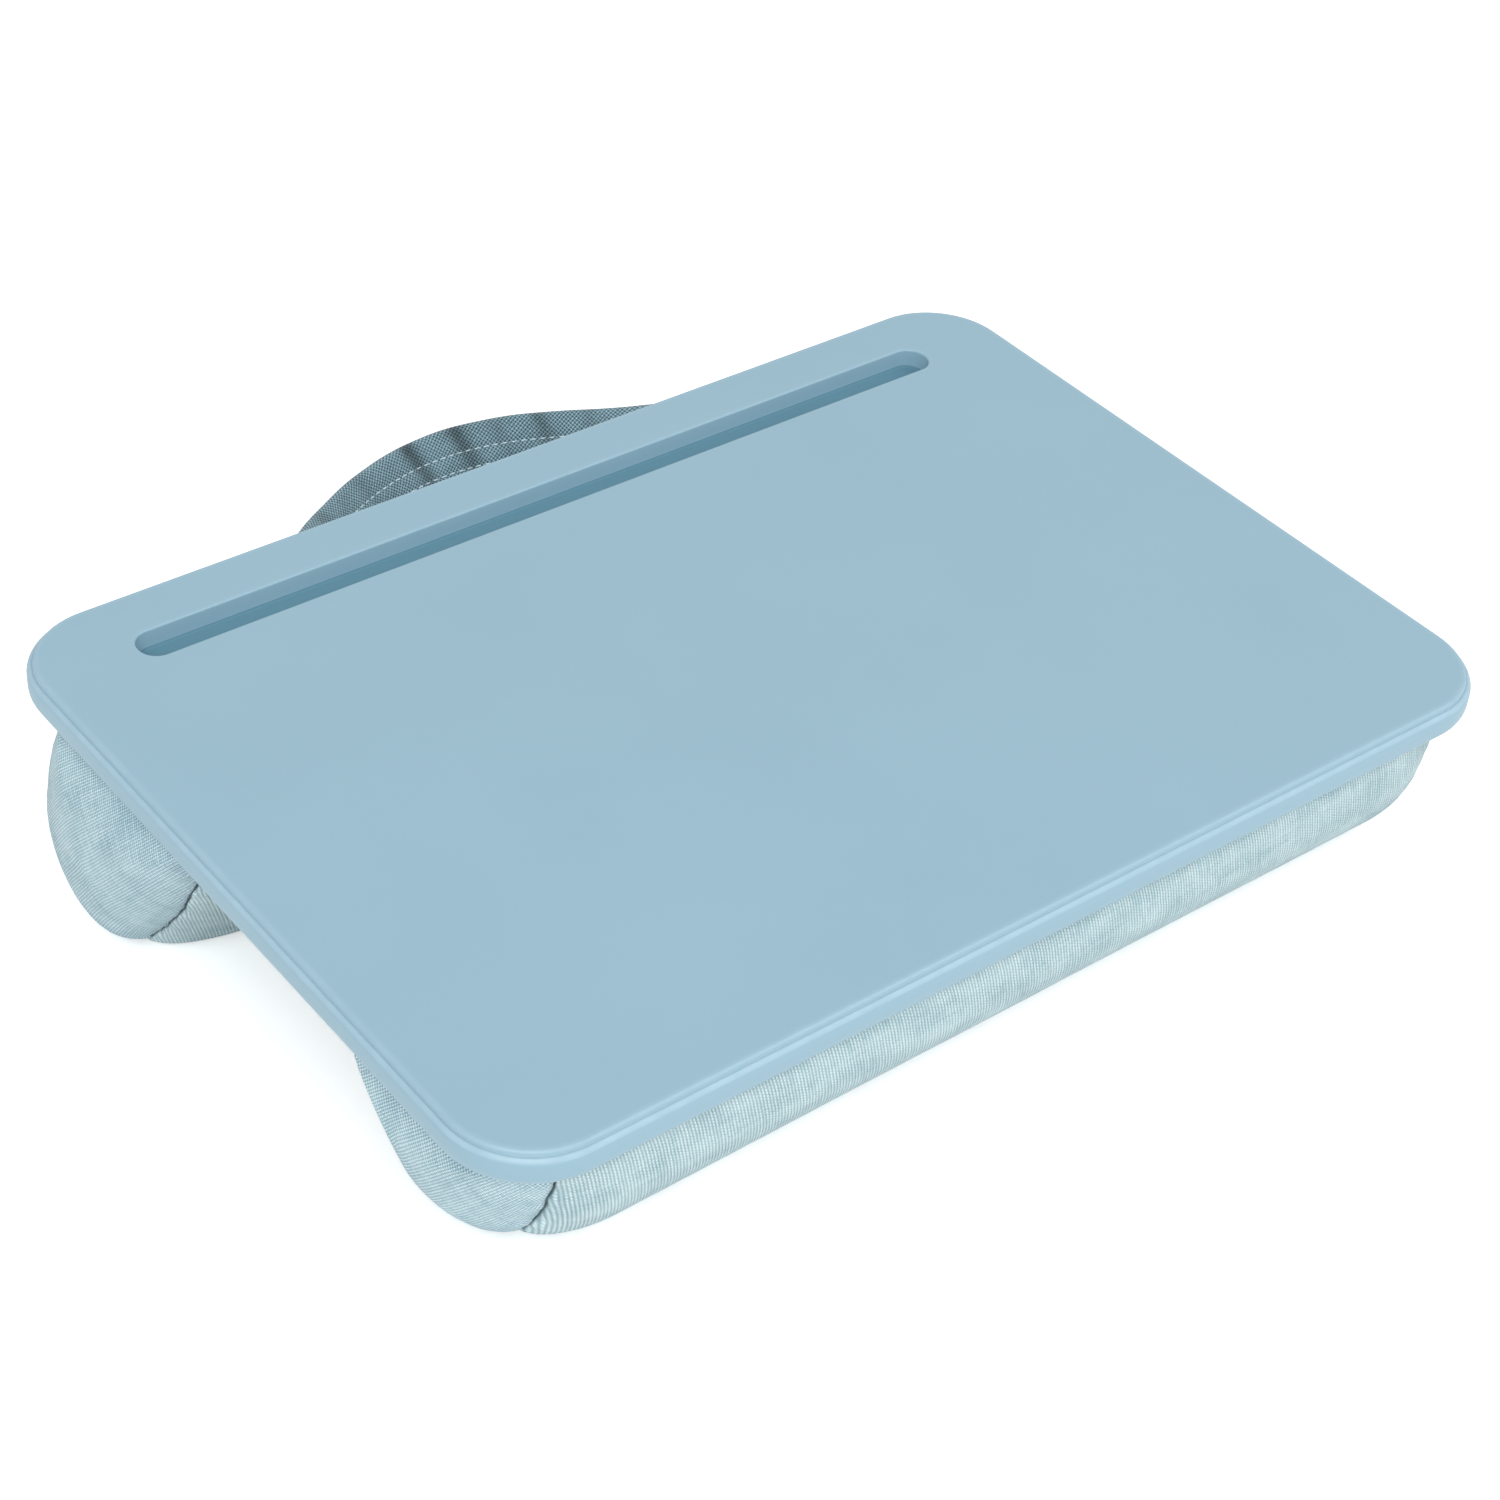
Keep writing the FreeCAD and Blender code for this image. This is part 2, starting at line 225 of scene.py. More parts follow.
def speckle(tree, scale, detail, stretch=(1.0, 1.0, 1.0)):
    """Noise on the piece's own coordinates, from 0 to 1."""
    place = put(tree, "ShaderNodeTexCoord").outputs["Object"]
    place = put(tree, "ShaderNodeMapping", {"Vector": place, "Scale": stretch}).outputs["Vector"]
    noise = put(tree, "ShaderNodeTexNoise", {"Vector": place, "Scale": scale, "Detail": detail})
    return noise.outputs["Fac"]


def between(tree, share, first, second):
    """A colour part of the way from one to another."""
    return put(tree, "ShaderNodeMix", {0: share, 6: first, 7: second}, data_type="RGBA").outputs[2]


def levels(tree, value, low, high, to_low=0.0, to_high=1.0):
    """A value stretched from one range to another."""
    return put(tree, "ShaderNodeMapRange", {0: value, 1: low, 2: high, 3: to_low, 4: to_high}).outputs[0]


def calc(tree, operation, first, second=0.0):
    """The result of a sum, a product or another operation on one or two values."""
    return put(tree, "ShaderNodeMath", {0: first, 1: second}, operation=operation).outputs[0]


def colour_and_relief(tree, shader, colour, height, depth):
    """Join a colour and a bump of that depth to the shader."""
    bump = put(tree, "ShaderNodeBump", {"Height": height, "Distance": depth})
    tree.links.new(colour, shader.inputs["Base Color"])
    tree.links.new(bump.outputs["Normal"], shader.inputs["Normal"])


def pressed_fibre(name, light, dark, grain):
    """Raw fibreboard or tack strip: short matted fibres."""
    material, tree, shader = new_finish(name, Roughness=fibre_rough)
    fibres = speckle(tree, grain, fibre_detail, fibre_stretch)
    shade = levels(tree, fibres, *fibre_band)
    colour_and_relief(tree, shader, between(tree, shade, dark, light), fibres, fibre_relief)
    return material


core = lay_on_board("board_core_plate", board_mesh("board_core_plate", core_skin, True),
                    pressed_fibre("raw_fibreboard", fibre_light, fibre_dark, fibre_grain), smooth=False)
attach(core, "tray")
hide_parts("board_core")


# Foil wrap: a satin blue decor foil, vacuum-drawn over the top and the sides of the core and into
# the trough, and turned under its lower edge. It is stretched pale where it goes over an edge, and
# painted lighter there as a highlight; the floor of the trough is painted darker as shade.
foil_thick = 0.0004
foil_blue = (0.292, 0.469, 0.570, 1.0)
foil_pale = (0.335, 0.518, 0.620, 1.0)
# Colour of the edges: foil stretched pale, and a painted highlight.
foil_stretched_highlight = (0.405, 0.580, 0.690, 1.0)
# Trough floor: colour and share of its painted shade, and the roughness added there.
foil_trough_shade = (0.085, 0.225, 0.300, 1.0)
trough_shade_share = 0.85
trough_shade_rough = 0.4
foil_grain = {"scale": 2600.0, "detail": 2.0}
foil_cloud = {"scale": 14.0, "detail": 4.0}
# Noise and shares for the patches of the pale, painted-highlight edges.
pale_highlight_noise = {"scale": 160.0, "detail": 5.0}
cloud_band = (0.3, 0.7)
cloud_share = 0.35
pale_highlight_band = (0.35, 0.7)
pale_highlight_shares = (0.45, 0.8)
foil_rough = (0.38, 0.48)
foil_coat = 0.06
foil_coat_rough = 0.35
foil_relief = 0.00002


def satin_foil(name, base, pale, stretched_highlight, trough_shade_colour):
    """Satin decor foil: fine pebbled grain, faint clouding, edges stretched pale with a painted
    highlight, and a dull trough with painted shade.
    """
    material, tree, shader = new_finish(name, Coat_Weight=foil_coat, Coat_Roughness=foil_coat_rough)
    grain = speckle(tree, **foil_grain)
    cloud = levels(tree, speckle(tree, **foil_cloud), *cloud_band)
    # Edges lighter: foil stretched pale and a painted highlight, in patches.
    pale_highlight = put(tree, "ShaderNodeAttribute", attribute_name="edge_wear").outputs["Fac"]
    patches = levels(tree, speckle(tree, **pale_highlight_noise), *pale_highlight_band, *pale_highlight_shares)
    colour = between(tree, levels(tree, cloud, 0.0, 1.0, 0.0, cloud_share), base, pale)
    colour = between(tree, calc(tree, "MULTIPLY", pale_highlight, patches), colour, stretched_highlight)
    # Painted shade on the trough's floor, which is also rougher there.
    trough_shade = put(tree, "ShaderNodeAttribute", attribute_name="trough_dust").outputs["Fac"]
    colour = between(tree, calc(tree, "MULTIPLY", trough_shade, trough_shade_share), colour, trough_shade_colour)
    colour_and_relief(tree, shader, colour, grain, foil_relief)
    rough = levels(tree, cloud, 0.0, 1.0, *foil_rough)
    rough = calc(tree, "ADD", rough, calc(tree, "MULTIPLY", trough_shade, trough_shade_rough))
    tree.links.new(rough, shader.inputs["Roughness"])
    return material


foil = lay_on_board("board_foil", board_mesh("board_foil", 0.0, False),
                    satin_foil("blue_satin_foil", foil_blue, foil_pale, foil_stretched_highlight, foil_trough_shade))
skin = foil.modifiers.new("foil_thickness", "SOLIDIFY")
skin.thickness = foil_thick
skin.offset = -1.0
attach(foil, "tray")
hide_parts("board_foil_wrap")


# Backing sheet: a matt balance foil glued to the flat of the underside, so that the board stays flat.
# It is the same blue without the satin, and the cushion is stapled through it.
backing_blue = (0.330, 0.490, 0.600, 1.0)
backing_pale = (0.370, 0.530, 0.640, 1.0)
backing_grain = {"scale": 1400.0, "detail": 4.0}
backing_cloud = {"scale": 25.0, "detail": 4.0}
backing_relief = 0.00004
backing_rough = 0.75


def dress(node, material):
    """Give a CAD node its finish."""
    mesh = frame["nodes"][node].data
    mesh.materials.clear()
    mesh.materials.append(material)


def balance_foil(name, base, pale):
    """Matt balance foil: fine grain and faint clouding."""
    material, tree, shader = new_finish(name, Roughness=backing_rough)
    grain = speckle(tree, **backing_grain)
    cloud = levels(tree, speckle(tree, **backing_cloud), *cloud_band)
    colour_and_relief(tree, shader, between(tree, cloud, base, pale), grain, backing_relief)
    return material


dress("board_backing_sheet", balance_foil("matt_balance_foil", backing_blue, backing_pale))


# Closing cloth: one panel of plain cloth with round corners and a stitched hem, which closes both
# bolsters at the top. It is stapled flat to the underside and hangs a little between the bolsters.
cloth_width = 0.358
cloth_front = -0.127
cloth_rear = 0.1075
cloth_corner = 0.026
cloth_thick = 0.0008
cloth_ply_share = 0.9
hem_width = 0.0075
hem_rise = 0.0003
hem_edge_step = 0.0008
hem_fold_step = 0.0005
hem_stitch_inset = 0.0055
valley_front = -0.036
valley_rear = 0.0175
valley_hang = 0.0009
hang_uneven_share = 0.2
hang_radians_per_metre = (40.0, 95.0)
hang_start = 2.0
ring_step = 0.004
least_corner = 0.001
merge_distance = 0.00002
closing_light = (0.50, 0.67, 0.71, 1.0)
closing_dark = (0.33, 0.48, 0.53, 1.0)
closing_pitch = 0.0009
closing_slub = 0.12
closing_depth = 0.0002
cloth_rough = 0.88
cloth_sheen = 0.2
cloth_sheen_rough = 0.5
fold_dark_share = 0.30
drift_noise = {"Scale": 70.0, "Detail": 3.0}
slub_noise = {"Scale": 1.0, "Detail": 2.0}
slub_thread_step = 7.31
slub_run_share = 0.07
patch_noise = {"Scale": 0.06, "Detail": 3.0}
noise_band = (0.3, 0.7)
weave_band = (0.15, 0.95)
half_thread = 0.5
hem_thread = 0.0003
hem_stitch = 0.0026
hem_stitch_gap = 0.0034
hem_wander = 0.04
hem_seed = 3
stitch_sides = 8
stitch_rings = 6
unit_radius = 0.5
thread_colour = (0.56, 0.70, 0.74, 1.0)
thread_plies = {"scale": 5200.0, "detail": 2.0, "stretch": (1.0, 1.0, 0.4)}
thread_pale = 1.18
thread_relief = 0.00005
thread_rough = 0.7
thread_sheen = 0.3


def woven_cloth(name, pitch, light, dark, slub, depth, cross_share=0.9, cross_pitch=1.0, dive=0.25):
    """Plain weave on the piece's own map, in metres: threads over and under, of uneven thickness, and
    with painted shade where the piece has a seam or a crease. The cross threads have their share of the
    height and of the pitch, and each thread dives to its share of its height."""
    material, tree, shader = new_finish(name, Roughness=cloth_rough, Sheen_Weight=cloth_sheen,
                                        Sheen_Roughness=cloth_sheen_rough)
    flat = put(tree, "ShaderNodeUVMap", uv_map="cloth").outputs["UV"]
    drift = put(tree, "ShaderNodeTexNoise", {"Vector": flat, **drift_noise}).outputs["Color"]
    drift = put(tree, "ShaderNodeVectorMath", {0: drift, "Scale": pitch * slub}, operation="SCALE")
    flat = put(tree, "ShaderNodeVectorMath", {0: flat, 1: drift.outputs[0]}, operation="ADD").outputs[0]
    threads = (1 / pitch, 1 / (pitch * cross_pitch), 1.0)
    flat = put(tree, "ShaderNodeVectorMath", {0: flat, 1: threads}, operation="MULTIPLY").outputs[0]
    split = put(tree, "ShaderNodeSeparateXYZ", {0: flat})
    heights = []
    for own, other, side in ((0, 1, 1.0), (1, 0, -1.0)):
        across = split.outputs[own]
        along = split.outputs[other]
        thread = calc(tree, "FLOOR", across)
        round_top = calc(tree, "SINE", calc(tree, "MULTIPLY", calc(tree, "FRACT", across), math.pi))
        beat = calc(tree, "ADD", thread, calc(tree, "SUBTRACT", along, half_thread))
        beat = calc(tree, "COSINE", calc(tree, "MULTIPLY", beat, math.pi))
        lift = levels(tree, calc(tree, "MULTIPLY", beat, side), -1.0, 1.0, dive, 1.0)
        own_spot = calc(tree, "MULTIPLY", thread, slub_thread_step)
        run_spot = calc(tree, "MULTIPLY", along, slub_run_share)
        spot = put(tree, "ShaderNodeCombineXYZ", {0: own_spot, 1: run_spot, 2: side}).outputs[0]
        uneven = put(tree, "ShaderNodeTexNoise", {"Vector": spot, **slub_noise})
        uneven = levels(tree, uneven.outputs["Fac"], *noise_band, 1.0 - slub, 1.0 + slub)
        height = calc(tree, "MULTIPLY", calc(tree, "MULTIPLY", round_top, lift), uneven)
        heights.append(calc(tree, "MULTIPLY", height, 1.0 if side > 0 else cross_share))
    height = calc(tree, "MAXIMUM", *heights)
    shade = levels(tree, height, *weave_band)
    patches = put(tree, "ShaderNodeTexNoise", {"Vector": flat, **patch_noise}).outputs["Fac"]
    shade = calc(tree, "ADD", shade, levels(tree, patches, *noise_band, -slub / 2, slub / 2))
    # Painted shade along seams and in creases.
    painted_seam_crease_shade = put(tree, "ShaderNodeAttribute", attribute_name="cloth_shade").outputs["Fac"]
    deep = tuple(channel * fold_dark_share for channel in dark[:3]) + (1.0,)
    colour = between(tree, painted_seam_crease_shade, between(tree, shade, dark, light), deep)
    colour_and_relief(tree, shader, colour, height, depth)
    return material


def closing_mesh():
    """The panel's lower face as rings from its hem to its middle, with its map."""
    half_width = cloth_width / 2
    half_depth = (cloth_rear - cloth_front) / 2
    middle_y = (cloth_rear + cloth_front) / 2
    insets = [0.0, hem_edge_step, hem_stitch_inset, hem_width - hem_fold_step, hem_width]
    insets += list(np.arange(hem_width + ring_step, half_depth - ring_step / 2, ring_step))
    loops = []
    for inset in insets:
        radius = max(cloth_corner - inset, least_corner)
        loops.append(rounded_loop(half_width - inset, half_depth - inset, radius, 0.0, middle_y))
    spread = half_width - half_depth
    loops.append([(max(-spread, min(spread, x)), middle_y, z) for x, y, z in loops[-1]])
    under = -board_thick - cloth_thick
    first_wave, second_wave = hang_radians_per_metre
    shaped = []
    for inset, loop in zip(insets + [half_depth], loops):
        row = []
        for x, y, z in loop:
            share = (y - valley_front) / (valley_rear - valley_front)
            hang = math.sin(math.pi * min(max(share, 0.0), 1.0)) ** 2
            uneven = math.sin(first_wave * x + hang_start) * math.sin(second_wave * x)
            hang *= 1 - hang_uneven_share + hang_uneven_share * uneven
            inside_edge = min(inset / hem_width, 1.0)
            doubled = hem_rise if 0 < inset < hem_width else 0.0
            row.append((x, y, under - valley_hang * hang * inside_edge - doubled))
        shaped.append(row)
    shell = bmesh.new()
    stack_loops(shell, shaped)
    bmesh.ops.remove_doubles(shell, verts=shell.verts, dist=merge_distance)
    bmesh.ops.recalc_face_normals(shell, faces=shell.faces)
    if sum(face.normal.z * face.calc_area() for face in shell.faces) > 0:
        bmesh.ops.reverse_faces(shell, faces=shell.faces)
    map_flat = shell.loops.layers.uv.new("cloth")
    for face in shell.faces:
        for corner in face.loops:
            corner[map_flat].uv = corner.vert.co.xy
    mesh = bpy.data.meshes.new("cushion_closing_panel")
    shell.to_mesh(mesh)
    shell.free()
    return mesh


def size_of(tree, x, y, z):
    """A size or a place from three values."""
    return put(tree, "ShaderNodeCombineXYZ", {0: x, 1: y, 2: z}).outputs[0]


def new_tree(name, guide, sizes, finish, result):
    """An empty node tree that takes a guide mesh, named sizes and a finish, and gives a piece."""
    tree = bpy.data.node_groups.new(name, "GeometryNodeTree")
    tree.interface.new_socket(guide, in_out="INPUT", socket_type="NodeSocketGeometry")
    for size in sizes:
        tree.interface.new_socket(size, in_out="INPUT", socket_type="NodeSocketFloat")
    tree.interface.new_socket(finish, in_out="INPUT", socket_type="NodeSocketMaterial")
    tree.interface.new_socket(result, in_out="OUTPUT", socket_type="NodeSocketGeometry")
    return tree


def stitch_tree():
    """Node tree that lays one short thread at each step along the edges of a mesh."""
    tree = new_tree("stitch_row", "Row", ("Step", "Stitch length", "Thread width", "Wander"), "Thread",
                    "Stitches")
    tree.interface.new_socket("Seed", in_out="INPUT", socket_type="NodeSocketInt")
    given = tree.nodes.new("NodeGroupInput").outputs
    row = put(tree, "GeometryNodeMeshToCurve", {"Mesh": given["Row"]}).outputs["Curve"]
    row = put(tree, "GeometryNodeResampleCurve", {"Curve": row, "Length": given["Step"]}, mode="LENGTH")
    run = tree.nodes.new("GeometryNodeInputTangent").outputs["Tangent"]
    turn = put(tree, "FunctionNodeAlignRotationToVector", {"Vector": run}, axis="X").outputs["Rotation"]
    wander = put(tree, "FunctionNodeRandomValue", {"Seed": given["Seed"]}, data_type="FLOAT_VECTOR")
    wander.inputs["Min"].default_value = (-1.0, -1.0, -1.0)
    wander.inputs["Max"].default_value = (1.0, 1.0, 1.0)
    wander = put(tree, "ShaderNodeVectorMath", {0: wander.outputs["Value"], "Scale": given["Wander"]},
                 operation="SCALE").outputs[0]
    wander = put(tree, "FunctionNodeEulerToRotation", {0: wander}).outputs[0]
    turn = put(tree, "FunctionNodeRotateRotation", {"Rotation": turn, "Rotate By": wander},
               rotation_space="LOCAL").outputs["Rotation"]
    bead = put(tree, "GeometryNodeMeshUVSphere", {"Segments": stitch_sides, "Rings": stitch_rings,
                                                  "Radius": unit_radius}).outputs["Mesh"]
    size = size_of(tree, given["Stitch length"], given["Thread width"], given["Thread width"])
    bead = put(tree, "GeometryNodeTransform", {"Geometry": bead, "Scale": size}).outputs["Geometry"]
    laid = put(tree, "GeometryNodeInstanceOnPoints", {"Points": row.outputs["Curve"], "Instance": bead,
                                                      "Rotation": turn}).outputs["Instances"]
    laid = put(tree, "GeometryNodeRealizeInstances", {"Geometry": laid}).outputs["Geometry"]
    laid = put(tree, "GeometryNodeSetShadeSmooth", {"Geometry": laid}).outputs["Geometry"]
    laid = put(tree, "GeometryNodeSetMaterial", {"Geometry": laid, "Material": given["Thread"]})
    put(tree, "NodeGroupOutput", {"Stitches": laid.outputs["Geometry"]})
    return tree


def made_by_nodes(name, guide_mesh, tree, **values):
    """A plain mesh object from a node tree that works on a guide mesh in the board's frame."""
    guide_mesh.transform(board_place)
    guide = new_object(name + "_guide", guide_mesh)
    modifier = guide.modifiers.new("nodes", "NODES")
    modifier.node_group = tree
    for socket in tree.interface.items_tree:
        value_name = socket.name.replace(" ", "_")
        if socket.in_out == "INPUT" and value_name in values:
            modifier[socket.identifier] = values[value_name]
    graph = bpy.context.evaluated_depsgraph_get()
    mesh = bpy.data.meshes.new_from_object(guide.evaluated_get(graph))
    bpy.data.objects.remove(guide)
    return new_object(name, mesh)


def sewing_thread(name, colour):
    """Twisted thread: fine slanting plies."""
    material, tree, shader = new_finish(name, Roughness=thread_rough, Sheen_Weight=thread_sheen)
    plies = speckle(tree, **thread_plies)
    pale = tuple(min(1.0, channel * thread_pale) for channel in colour[:3]) + (1.0,)
    colour_and_relief(tree, shader, between(tree, plies, colour, pale), plies, thread_relief)
    return material


def rows_mesh(name, rows):
    """A mesh of edges through rows of points."""
    points = []
    edges = []
    for row in rows:
        edges += [(len(points) + index, len(points) + index + 1) for index in range(len(row) - 1)]
        points += [tuple(point) for point in row]
    mesh = bpy.data.meshes.new(name)
    mesh.from_pydata(points, edges, [])
    return mesh


closing_weave = woven_cloth("closing_cloth_weave", closing_pitch, closing_light, closing_dark,
                            closing_slub, closing_depth)
closing = lay_on_board("cushion_closing_panel", closing_mesh(), closing_weave)
ply = closing.modifiers.new("cloth_thickness", "SOLIDIFY")
ply.thickness = cloth_thick * cloth_ply_share
ply.offset = -1.0
stitches = stitch_tree()
pale_thread = sewing_thread("pale_thread", thread_colour)
hem_line = rounded_loop(cloth_width / 2 - hem_stitch_inset,
                        (cloth_rear - cloth_front) / 2 - hem_stitch_inset,
                        cloth_corner - hem_stitch_inset, -board_thick - cloth_thick - hem_rise,
                        (cloth_rear + cloth_front) / 2)
hem = made_by_nodes("closing_hem_stitches", rows_mesh("hem_line", [hem_line + hem_line[:1]]), stitches,
                    Step=hem_stitch_gap, Stitch_length=hem_stitch, Thread_width=hem_thread,
                    Wander=hem_wander, Seed=hem_seed, Thread=pale_thread)
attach(closing, "tray")
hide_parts("cushion_closing_cloth")
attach(hem, "tray")


# Tack strips: four stiff strips of pressed fibre inside the bolsters, along the edges of their tops.
# They spread the pull of the staples, so that the cloth doesn't tear round the wire.
strip_light = (0.46, 0.40, 0.33, 1.0)
strip_dark = (0.32, 0.27, 0.21, 1.0)
strip_grain = 1500.0
strip_finish = pressed_fibre("pressed_tack_strip", strip_light, strip_dark, strip_grain)
for strip in ("front_edge", "front_valley", "rear_valley", "rear_edge"):
    dress(strip + "_tack_strip", strip_finish)


# Staples: wire staples shot up through the strips and the cloth into the board.
# They are drawn steel wire with a thin zinc coat.
zinc_light = (0.70, 0.71, 0.72, 1.0)
zinc_dark = (0.50, 0.51, 0.53, 1.0)
zinc_lines = {"scale": 2200.0, "detail": 3.0, "stretch": (1.0, 0.15, 1.0)}
zinc_spangle = {"scale": 420.0, "detail": 4.0}
spangle_band = (0.35, 0.65)
zinc_rough = (0.28, 0.42)
zinc_relief = 0.00001


def zinc_steel(name, light, dark):
    """Zinc-plated steel: fine drawn lines and faint spangle."""
    material, tree, shader = new_finish(name, Metallic=1.0)
    lines = speckle(tree, **zinc_lines)
    spangle = levels(tree, speckle(tree, **zinc_spangle), *spangle_band)
    colour_and_relief(tree, shader, between(tree, spangle, dark, light), lines, zinc_relief)
    tree.links.new(levels(tree, spangle, 0.0, 1.0, *zinc_rough), shader.inputs["Roughness"])
    return material


plated = zinc_steel("zinc_plated_steel", zinc_light, zinc_dark)
dress("cushion_staples", plated)


# Bolsters: two soft rolls of slubbed pale canvas, a small one at the front and a larger one at the
# rear, each sewn from one main panel and two domed end panels of a finer weave. Inside is a spun-bonded
# liner full of light beads, and the top of each roll is sewn flat to the closing cloth.
cushion_top = -board_thick - cloth_thick
lid_gap = 0.0002
# A roll has one section at its middle and one at its seams, each with the edges of its flat top and the
# round nose that it stands on. It narrows over its run towards the seam, and its ends dome out from
# there. The cap is the cloth from the middle of an end to the seam, and the skew slants the weave.
front_roll = {"middle": {"front": -0.1285, "rear": -0.0376, "nose_y": -0.0994, "nose_z": -0.0261,
                         "radius": 0.0304},
              "end": {"front": -0.1253, "rear": -0.0340, "nose_y": -0.0941, "nose_z": -0.0316,
                      "radius": 0.0236},
              "seam_x": 0.1637, "dome": 0.0190, "run": 0.0200, "cap": 0.038, "skew": -0.2,
              "wave_start": 0.4}
rear_roll = {"middle": {"front": 0.0220, "rear": 0.1057, "nose_y": 0.0848, "nose_z": -0.0528,
                        "radius": 0.0374},
             "end": {"front": 0.0300, "rear": 0.1069, "nose_y": 0.0912, "nose_z": -0.0551,
                     "radius": 0.0306},
             "seam_x": 0.1735, "dome": 0.0166, "run": 0.0375, "cap": 0.045, "skew": -0.35,
             "wave_start": 1.9}
slope_crown_share = 0.05
outline_steps = 40
rounding_share = 1.25
coarse_step = 0.006
fine_step = 0.0024
coarse_columns = (31, 12)
finer_columns = 3
held_depth = 0.002
most_swell = 0.0035
swell_frames = 20
swell_quality = 6
cover_mass = 0.15
cover_stretch = 15.0
cover_bend = 8.0
bead_pressure = 8.0
least_length = 1e-12
seam_zone = 0.005
seam_rings = 15
seam_depth = 0.0005
seam_reach = 0.0009
seam_hair = 0.00006
seam_lip = 0.001
seam_shade_reach = 0.00017
seam_wander = 0.00045
seam_wander_waves = (0.021, 0.0087)
seam_wander_reach = 0.007
pucker_height = 0.00035
pucker_reach = 0.006
pucker_waves = (0.0061, 0.0103)
pucker_start = 3
weak_wave_share = 0.65
end_weave_turn = math.radians(138.0)
canvas_light = (0.800, 0.965, 0.985, 1.0)
canvas_dark = (0.190, 0.360, 0.425, 1.0)
canvas_pitch = 0.00105
canvas_cross_share = 0.72
canvas_cross_pitch = 0.55
canvas_dive = 0.42
canvas_slub = 0.28
canvas_depth = 0.00035
end_canvas_light = (0.740, 0.930, 0.985, 1.0)
end_canvas_dark = (0.160, 0.335, 0.425, 1.0)
end_canvas_pitch = 0.0009
end_canvas_depth = 0.0003
liner_gap = 0.0024
fill_gap = 0.0036
inner_skip = 2
liner_white = (0.78, 0.79, 0.78, 1.0)
liner_grey = (0.66, 0.67, 0.67, 1.0)
liner_dots = {"Scale": 700.0, "Randomness": 0.15}
liner_dot_band = (0.2, 0.5)
liner_relief = 0.0001
liner_rough = 0.85
liner_sheen = 0.2
bead_white = (0.86, 0.86, 0.85, 1.0)
bead_grey = (0.60, 0.61, 0.62, 1.0)
bead_scale = 330.0
bead_edge = 0.7
bead_relief = 0.0012
bead_rough = 0.6


def roll_outline(form, counts):
    """Section of a roll, by (y, z): down the front, round the nose, up the rear, back along the top."""
    nose = np.array((form["nose_y"], form["nose_z"]))
    front_top = np.array((form["front"], cushion_top))
    rear_top = np.array((form["rear"], cushion_top))

    def tangent(corner, side):
        across, up = corner - nose
        return math.atan2(up, across) + side * math.acos(form["radius"] / math.hypot(across, up))

    def crowned(start, end):
        share = np.linspace(0, 1, outline_steps)[:, None]
        outward = np.array((end[1] - start[1], start[0] - end[0]))
        return start + (end - start) * share + outward * slope_crown_share * 4 * share * (1 - share)

    turns = np.linspace(tangent(front_top, 1), tangent(rear_top, -1) + 2 * math.pi, 2 * outline_steps)
    arc = nose + form["radius"] * np.stack((np.cos(turns), np.sin(turns)), 1)
    belly = np.concatenate((crowned(front_top, arc[0])[:-1], arc, crowned(arc[-1], rear_top)[1:]))
    run = np.concatenate(([0.0], np.cumsum(np.linalg.norm(np.diff(belly, axis=0), axis=1))))
    places = np.linspace(0, run[-1], counts[0], endpoint=False)
    belly = np.stack([np.interp(places, run, belly[:, axis]) for axis in (0, 1)], 1)
    share = np.linspace(0, 1, counts[1], endpoint=False)[:, None]
    return np.concatenate((belly, rear_top + (front_top - rear_top) * share))


def roll_rings(roll, distances, counts):
    """Rings of points round a roll at distances along it, from the middle of one end to the other."""
    middle = roll_outline(roll["middle"], counts)
    end = roll_outline(roll["end"], counts)
    end_middle = (end.min(0) + end.max(0)) / 2
    rounding = rounding_share * roll["run"]
    whole = roll_length(roll)
    rings = []
    for distance in distances:
        from_end = min(distance, whole - distance)
        side = -1 if distance < whole / 2 else 1
        if from_end < roll["cap"]:
            turn = math.pi / 2 * from_end / roll["cap"]
            ring = end_middle + (end - end_middle) * math.sin(turn)
            x = roll["seam_x"] + roll["dome"] * math.cos(turn)
        else:
            from_seam = from_end - roll["cap"]
            turn = math.pi / 2 * min(from_seam / rounding, 1.0)
            ring = end + (middle - end) * math.sin(turn)
            x = roll["seam_x"] - roll["run"] * (1 - math.cos(turn)) - max(from_seam - rounding, 0.0)
        rings.append(np.column_stack((np.full(len(ring), side * x), ring)))
    return np.array(rings)


def roll_length(roll):
    """Distance along a roll, over both domed ends."""
    return 2 * (roll["cap"] + rounding_share * roll["run"] + roll["seam_x"] - roll["run"])


def closed_roll_mesh(name, rings):
    """A closed mesh from rings of points, with a middle point at each end."""
    count, columns = rings.shape[:2]
    points = np.concatenate((rings.reshape(-1, 3), [rings[0].mean(0), rings[-1].mean(0)]))
    faces = []
    for ring in range(count - 1):
        for column in range(columns):
            following = (column + 1) % columns
            faces.append((ring * columns + column, ring * columns + following,
                          (ring + 1) * columns + following, (ring + 1) * columns + column))
    for column in range(columns):
        following = (column + 1) % columns
        last = (count - 1) * columns
        faces.append((count * columns, following, column))
        faces.append((count * columns + 1, last + column, last + following))
    mesh = bpy.data.meshes.new(name)
    mesh.from_pydata(points.tolist(), [], faces)
    face_outwards(mesh)
    return mesh


def face_outwards(mesh):
    """Turn a closed mesh's faces outwards."""
    shell = bmesh.new()
    shell.from_mesh(mesh)
    bmesh.ops.recalc_face_normals(shell, faces=shell.faces)
    shell.to_mesh(mesh)
    shell.free()


